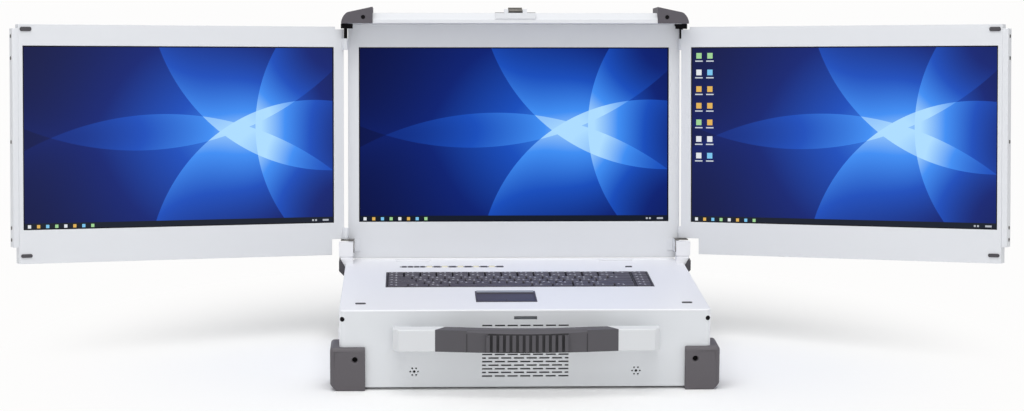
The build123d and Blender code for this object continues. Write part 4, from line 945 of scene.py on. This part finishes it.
# %% Place the screws of the case
half_width, half_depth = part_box("case_tray")[1][:2]
screw_height = deck_height - 10.2 * mm
bumper_recess = Vector((half_width - 17.35 * mm, half_depth + 1.5 * mm, deck_height - 55.2 * mm))
bumper_hole = 3.15 * mm
corner_radius = 6.0 * mm
corner_direction = Vector((0.44, -0.90, 0)).normalized()
corner_hole = 2.7 * mm
corner_disc = 0.9 * mm
corner_sunk = 0.7 * mm
side_screws_back = (-105 * mm, 105 * mm)
side_screw = 2.5 * mm
rear_screws_across = (90 * mm, 185 * mm)
rear_screw = 2.2 * mm
door_margin = 7 * mm
door_screw = 2.6 * mm

case_screws = bmesh.new()
# discs of painted shade in the mouths of the deep screw holes
shade_discs = bmesh.new()
for side in (-1, 1):
    for end in (-1, 1):
        add_hole(shade_discs, bumper_recess * Vector((side, end, 1)), (0, end, 0), bumper_hole)
    corner = Vector((side * (half_width - corner_radius), corner_radius - half_depth, screw_height))
    outward = corner_direction * Vector((side, 1, 1))
    add_hole(shade_discs, corner + outward * (corner_radius - corner_sunk), outward, corner_hole,
             corner_disc)
    for back in side_screws_back:
        add_screw(case_screws, (side * half_width, back, screw_height), (side, 0, 0), side_screw)
    for across in rear_screws_across:
        add_screw(case_screws, (side * across, half_depth, screw_height), (0, 1, 0), rear_screw)
door_low, door_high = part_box("drive_door")
door_middle = (door_low[2] + door_high[2]) / 2
for back in (door_low[1] + door_margin, door_high[1] - door_margin):
    add_screw(case_screws, (door_low[0], back, door_middle), (-1, 0, 0), door_screw)
finish_screws(case_screws, "case_screws", dark_steel, "case")
finish_screws(shade_discs, "screw_hole_shade", black_and_shade, "case")
print("case screws are in place")

# %% [markdown]
# The lid and the wings lean and turn, so their screws are set out along each panel's own three
# directions, which `panel_axes` gives.  `reach` measures how far a shell goes along one of them.

# %% Place the screws on the backs of the lid and the wings
# shares of the shell's half width and half height, from its middle
back_places = [(across, up) for across in (-0.72, 0, 0.72) for up in (-0.93, 0.93)]
back_places += [(-0.95, 0), (0.95, 0)]
back_screw = 2.3 * mm


def share_of(ends, share):
    """The place at a share of the half length between two ends, from their middle."""
    return (ends[0] + ends[1]) / 2 + share * (ends[1] - ends[0]) / 2


for panel, shell in (("main_screen", "lid_shell"), ("wing_left_screen", "wing_left_shell"),
                     ("wing_right_screen", "wing_right_shell")):
    centre, sideways, upward, forward = panel_axes(panel)
    side_ends = reach(shell, sideways, centre)
    up_ends = reach(shell, upward, centre)
    back_end = reach(shell, forward, centre)[0]
    screws = bmesh.new()
    for across, up in back_places:
        spot = sideways * share_of(side_ends, across) + upward * share_of(up_ends, up)
        add_screw(screws, centre + spot + forward * back_end, -forward, back_screw)
    finish_screws(screws, f"{shell}_screws", dark_steel, body_of[shell])
print(len(back_places), "screws are on each back")

# %% Place the screws of the side covers and the lid's corners
cover_places = (118.4 * mm, 92.9 * mm, -4.7 * mm, -105.0 * mm, -119.0 * mm)
cover_screw = 2.2 * mm
for wing, side in (("left", -1), ("right", 1)):
    centre, sideways, upward, forward = panel_axes(f"wing_{wing}_screen")
    cover = f"wing_{wing}_side_cover"
    outer_face = sideways * share_of(reach(cover, sideways, centre), side)
    middle = forward * share_of(reach(cover, forward, centre), 0)
    screws = bmesh.new()
    for up in cover_places:
        add_screw(screws, centre + outer_face + middle + upward * up, sideways * side, cover_screw)
    finish_screws(screws, f"{cover}_screws", dark_steel, body_of[cover])

cap_hole = 2.55 * mm
cap_hole_in = 26.7 * mm
cap_hole_down = 5.8 * mm
cap_hole_sunk = 0.9 * mm
cap_face = reach("lid_corner_caps", lid_forward, lid_centre)[1]
# discs of painted shade in the screw holes of the lid's rubber corners
holes = bmesh.new()
for side in (-1, 1):
    spot = lid_sideways * side * (cap_side - cap_hole_in) + lid_upward * (cap_top - cap_hole_down)
    spot += lid_centre + lid_forward * (cap_face - cap_hole_sunk)
    add_hole(holes, spot, lid_forward, cap_hole)
finish_screws(holes, "cap_screw_holes", black_and_shade, body_of["lid_corner_caps"])
print(len(cover_places), "screws are on each side cover")

# %% [markdown]
# ## Floor and light
#
# The machine stands on a plain white floor.  The floor is lit like everything else near the
# object, so it keeps the soft shadow, and fades to plain white further out, which only the
# camera sees.  The world is white to the camera and in reflections, and a softer white as a
# light source, and one large lamp above gives the deck its brightness.

# %% Lay the floor
floor_half = 30.0
floor_colour = (0.93, 0.925, 0.92, 1)
backdrop_white = (0.985, 0.98, 0.975, 1)
fade_start = 0.24
fade_end = 0.62

floor_material, floor_tree, floor_shader, floor_place = new_material("floor_white")
floor_tree.nodes.remove(floor_shader)
from_middle = wire(floor_tree, "ShaderNodeVectorMath", {0: floor_place}, operation="LENGTH")
far_share = wire(floor_tree, "ShaderNodeMapRange",
                 {"Value": from_middle.outputs["Value"], "From Min": fade_start, "From Max": fade_end},
                 interpolation_type="SMOOTHSTEP")
sees = wire(floor_tree, "ShaderNodeLightPath")
far_seen = calc(floor_tree, "MULTIPLY", far_share.outputs["Result"], sees.outputs["Is Camera Ray"])
near_floor = wire(floor_tree, "ShaderNodeBsdfDiffuse", {"Color": floor_colour})
far_floor = wire(floor_tree, "ShaderNodeEmission", {"Color": backdrop_white, "Strength": 1.0})
floor_mix = wire(floor_tree, "ShaderNodeMixShader",
                 {0: far_seen, 1: near_floor.outputs[0], 2: far_floor.outputs[0]})
floor_tree.links.new(floor_mix.outputs[0], floor_tree.nodes["Material Output"].inputs["Surface"])

floor_mesh = bmesh.new()
bmesh.ops.create_grid(floor_mesh, x_segments=1, y_segments=1, size=floor_half)
bmesh.ops.translate(floor_mesh, verts=floor_mesh.verts, vec=(0, 0, cad_box[0][2]))
floor = make_object(floor_mesh, "floor", floor_material)
print("floor at height", round(cad_box[0][2], 4))

# %% Set the world
sky_colour = (0.96, 0.98, 1.0, 1)
sky_strength = 0.62

world = bpy.data.worlds.new("studio")
bpy.context.scene.world = world
world.use_nodes = True
world_tree = world.node_tree
world_tree.nodes.clear()
ray = wire(world_tree, "ShaderNodeLightPath")
seen = calc(world_tree, "MAXIMUM", ray.outputs["Is Camera Ray"], ray.outputs["Is Glossy Ray"])
seen = calc(world_tree, "MAXIMUM", seen, ray.outputs["Is Transmission Ray"])
shown = wire(world_tree, "ShaderNodeBackground", {"Color": backdrop_white, "Strength": 1.0})
lighting = wire(world_tree, "ShaderNodeBackground", {"Color": sky_colour, "Strength": sky_strength})
world_mix = wire(world_tree, "ShaderNodeMixShader",
                 {0: seen, 1: lighting.outputs[0], 2: shown.outputs[0]})
wire(world_tree, "ShaderNodeOutputWorld", {0: world_mix.outputs[0]})
bpy.context.scene.view_settings.view_transform = "Standard"
print("world", world.name, "is set")

# %% Hang the lamps
def area_lamp(name, place, target, size, power):
    """A square soft lamp aimed at a point."""
    data = bpy.data.lights.new(name, "AREA")
    data.size = size
    data.energy = power
    lamp = bpy.data.objects.new(name, data)
    lamp.location = place
    lamp.rotation_euler = (Vector(target) - Vector(place)).to_track_quat("-Z", "Y").to_euler()
    bpy.context.scene.collection.objects.link(lamp)


area_lamp("top_lamp", place=(-0.3, -0.9, 2.6), target=(0, 0, 0.1), size=2.4, power=42.0)
area_lamp("front_lamp", place=(0.6, -3.2, 1.4), target=(0, 0, 0.2), size=1.8, power=8.0)
print("two lamps are hung")
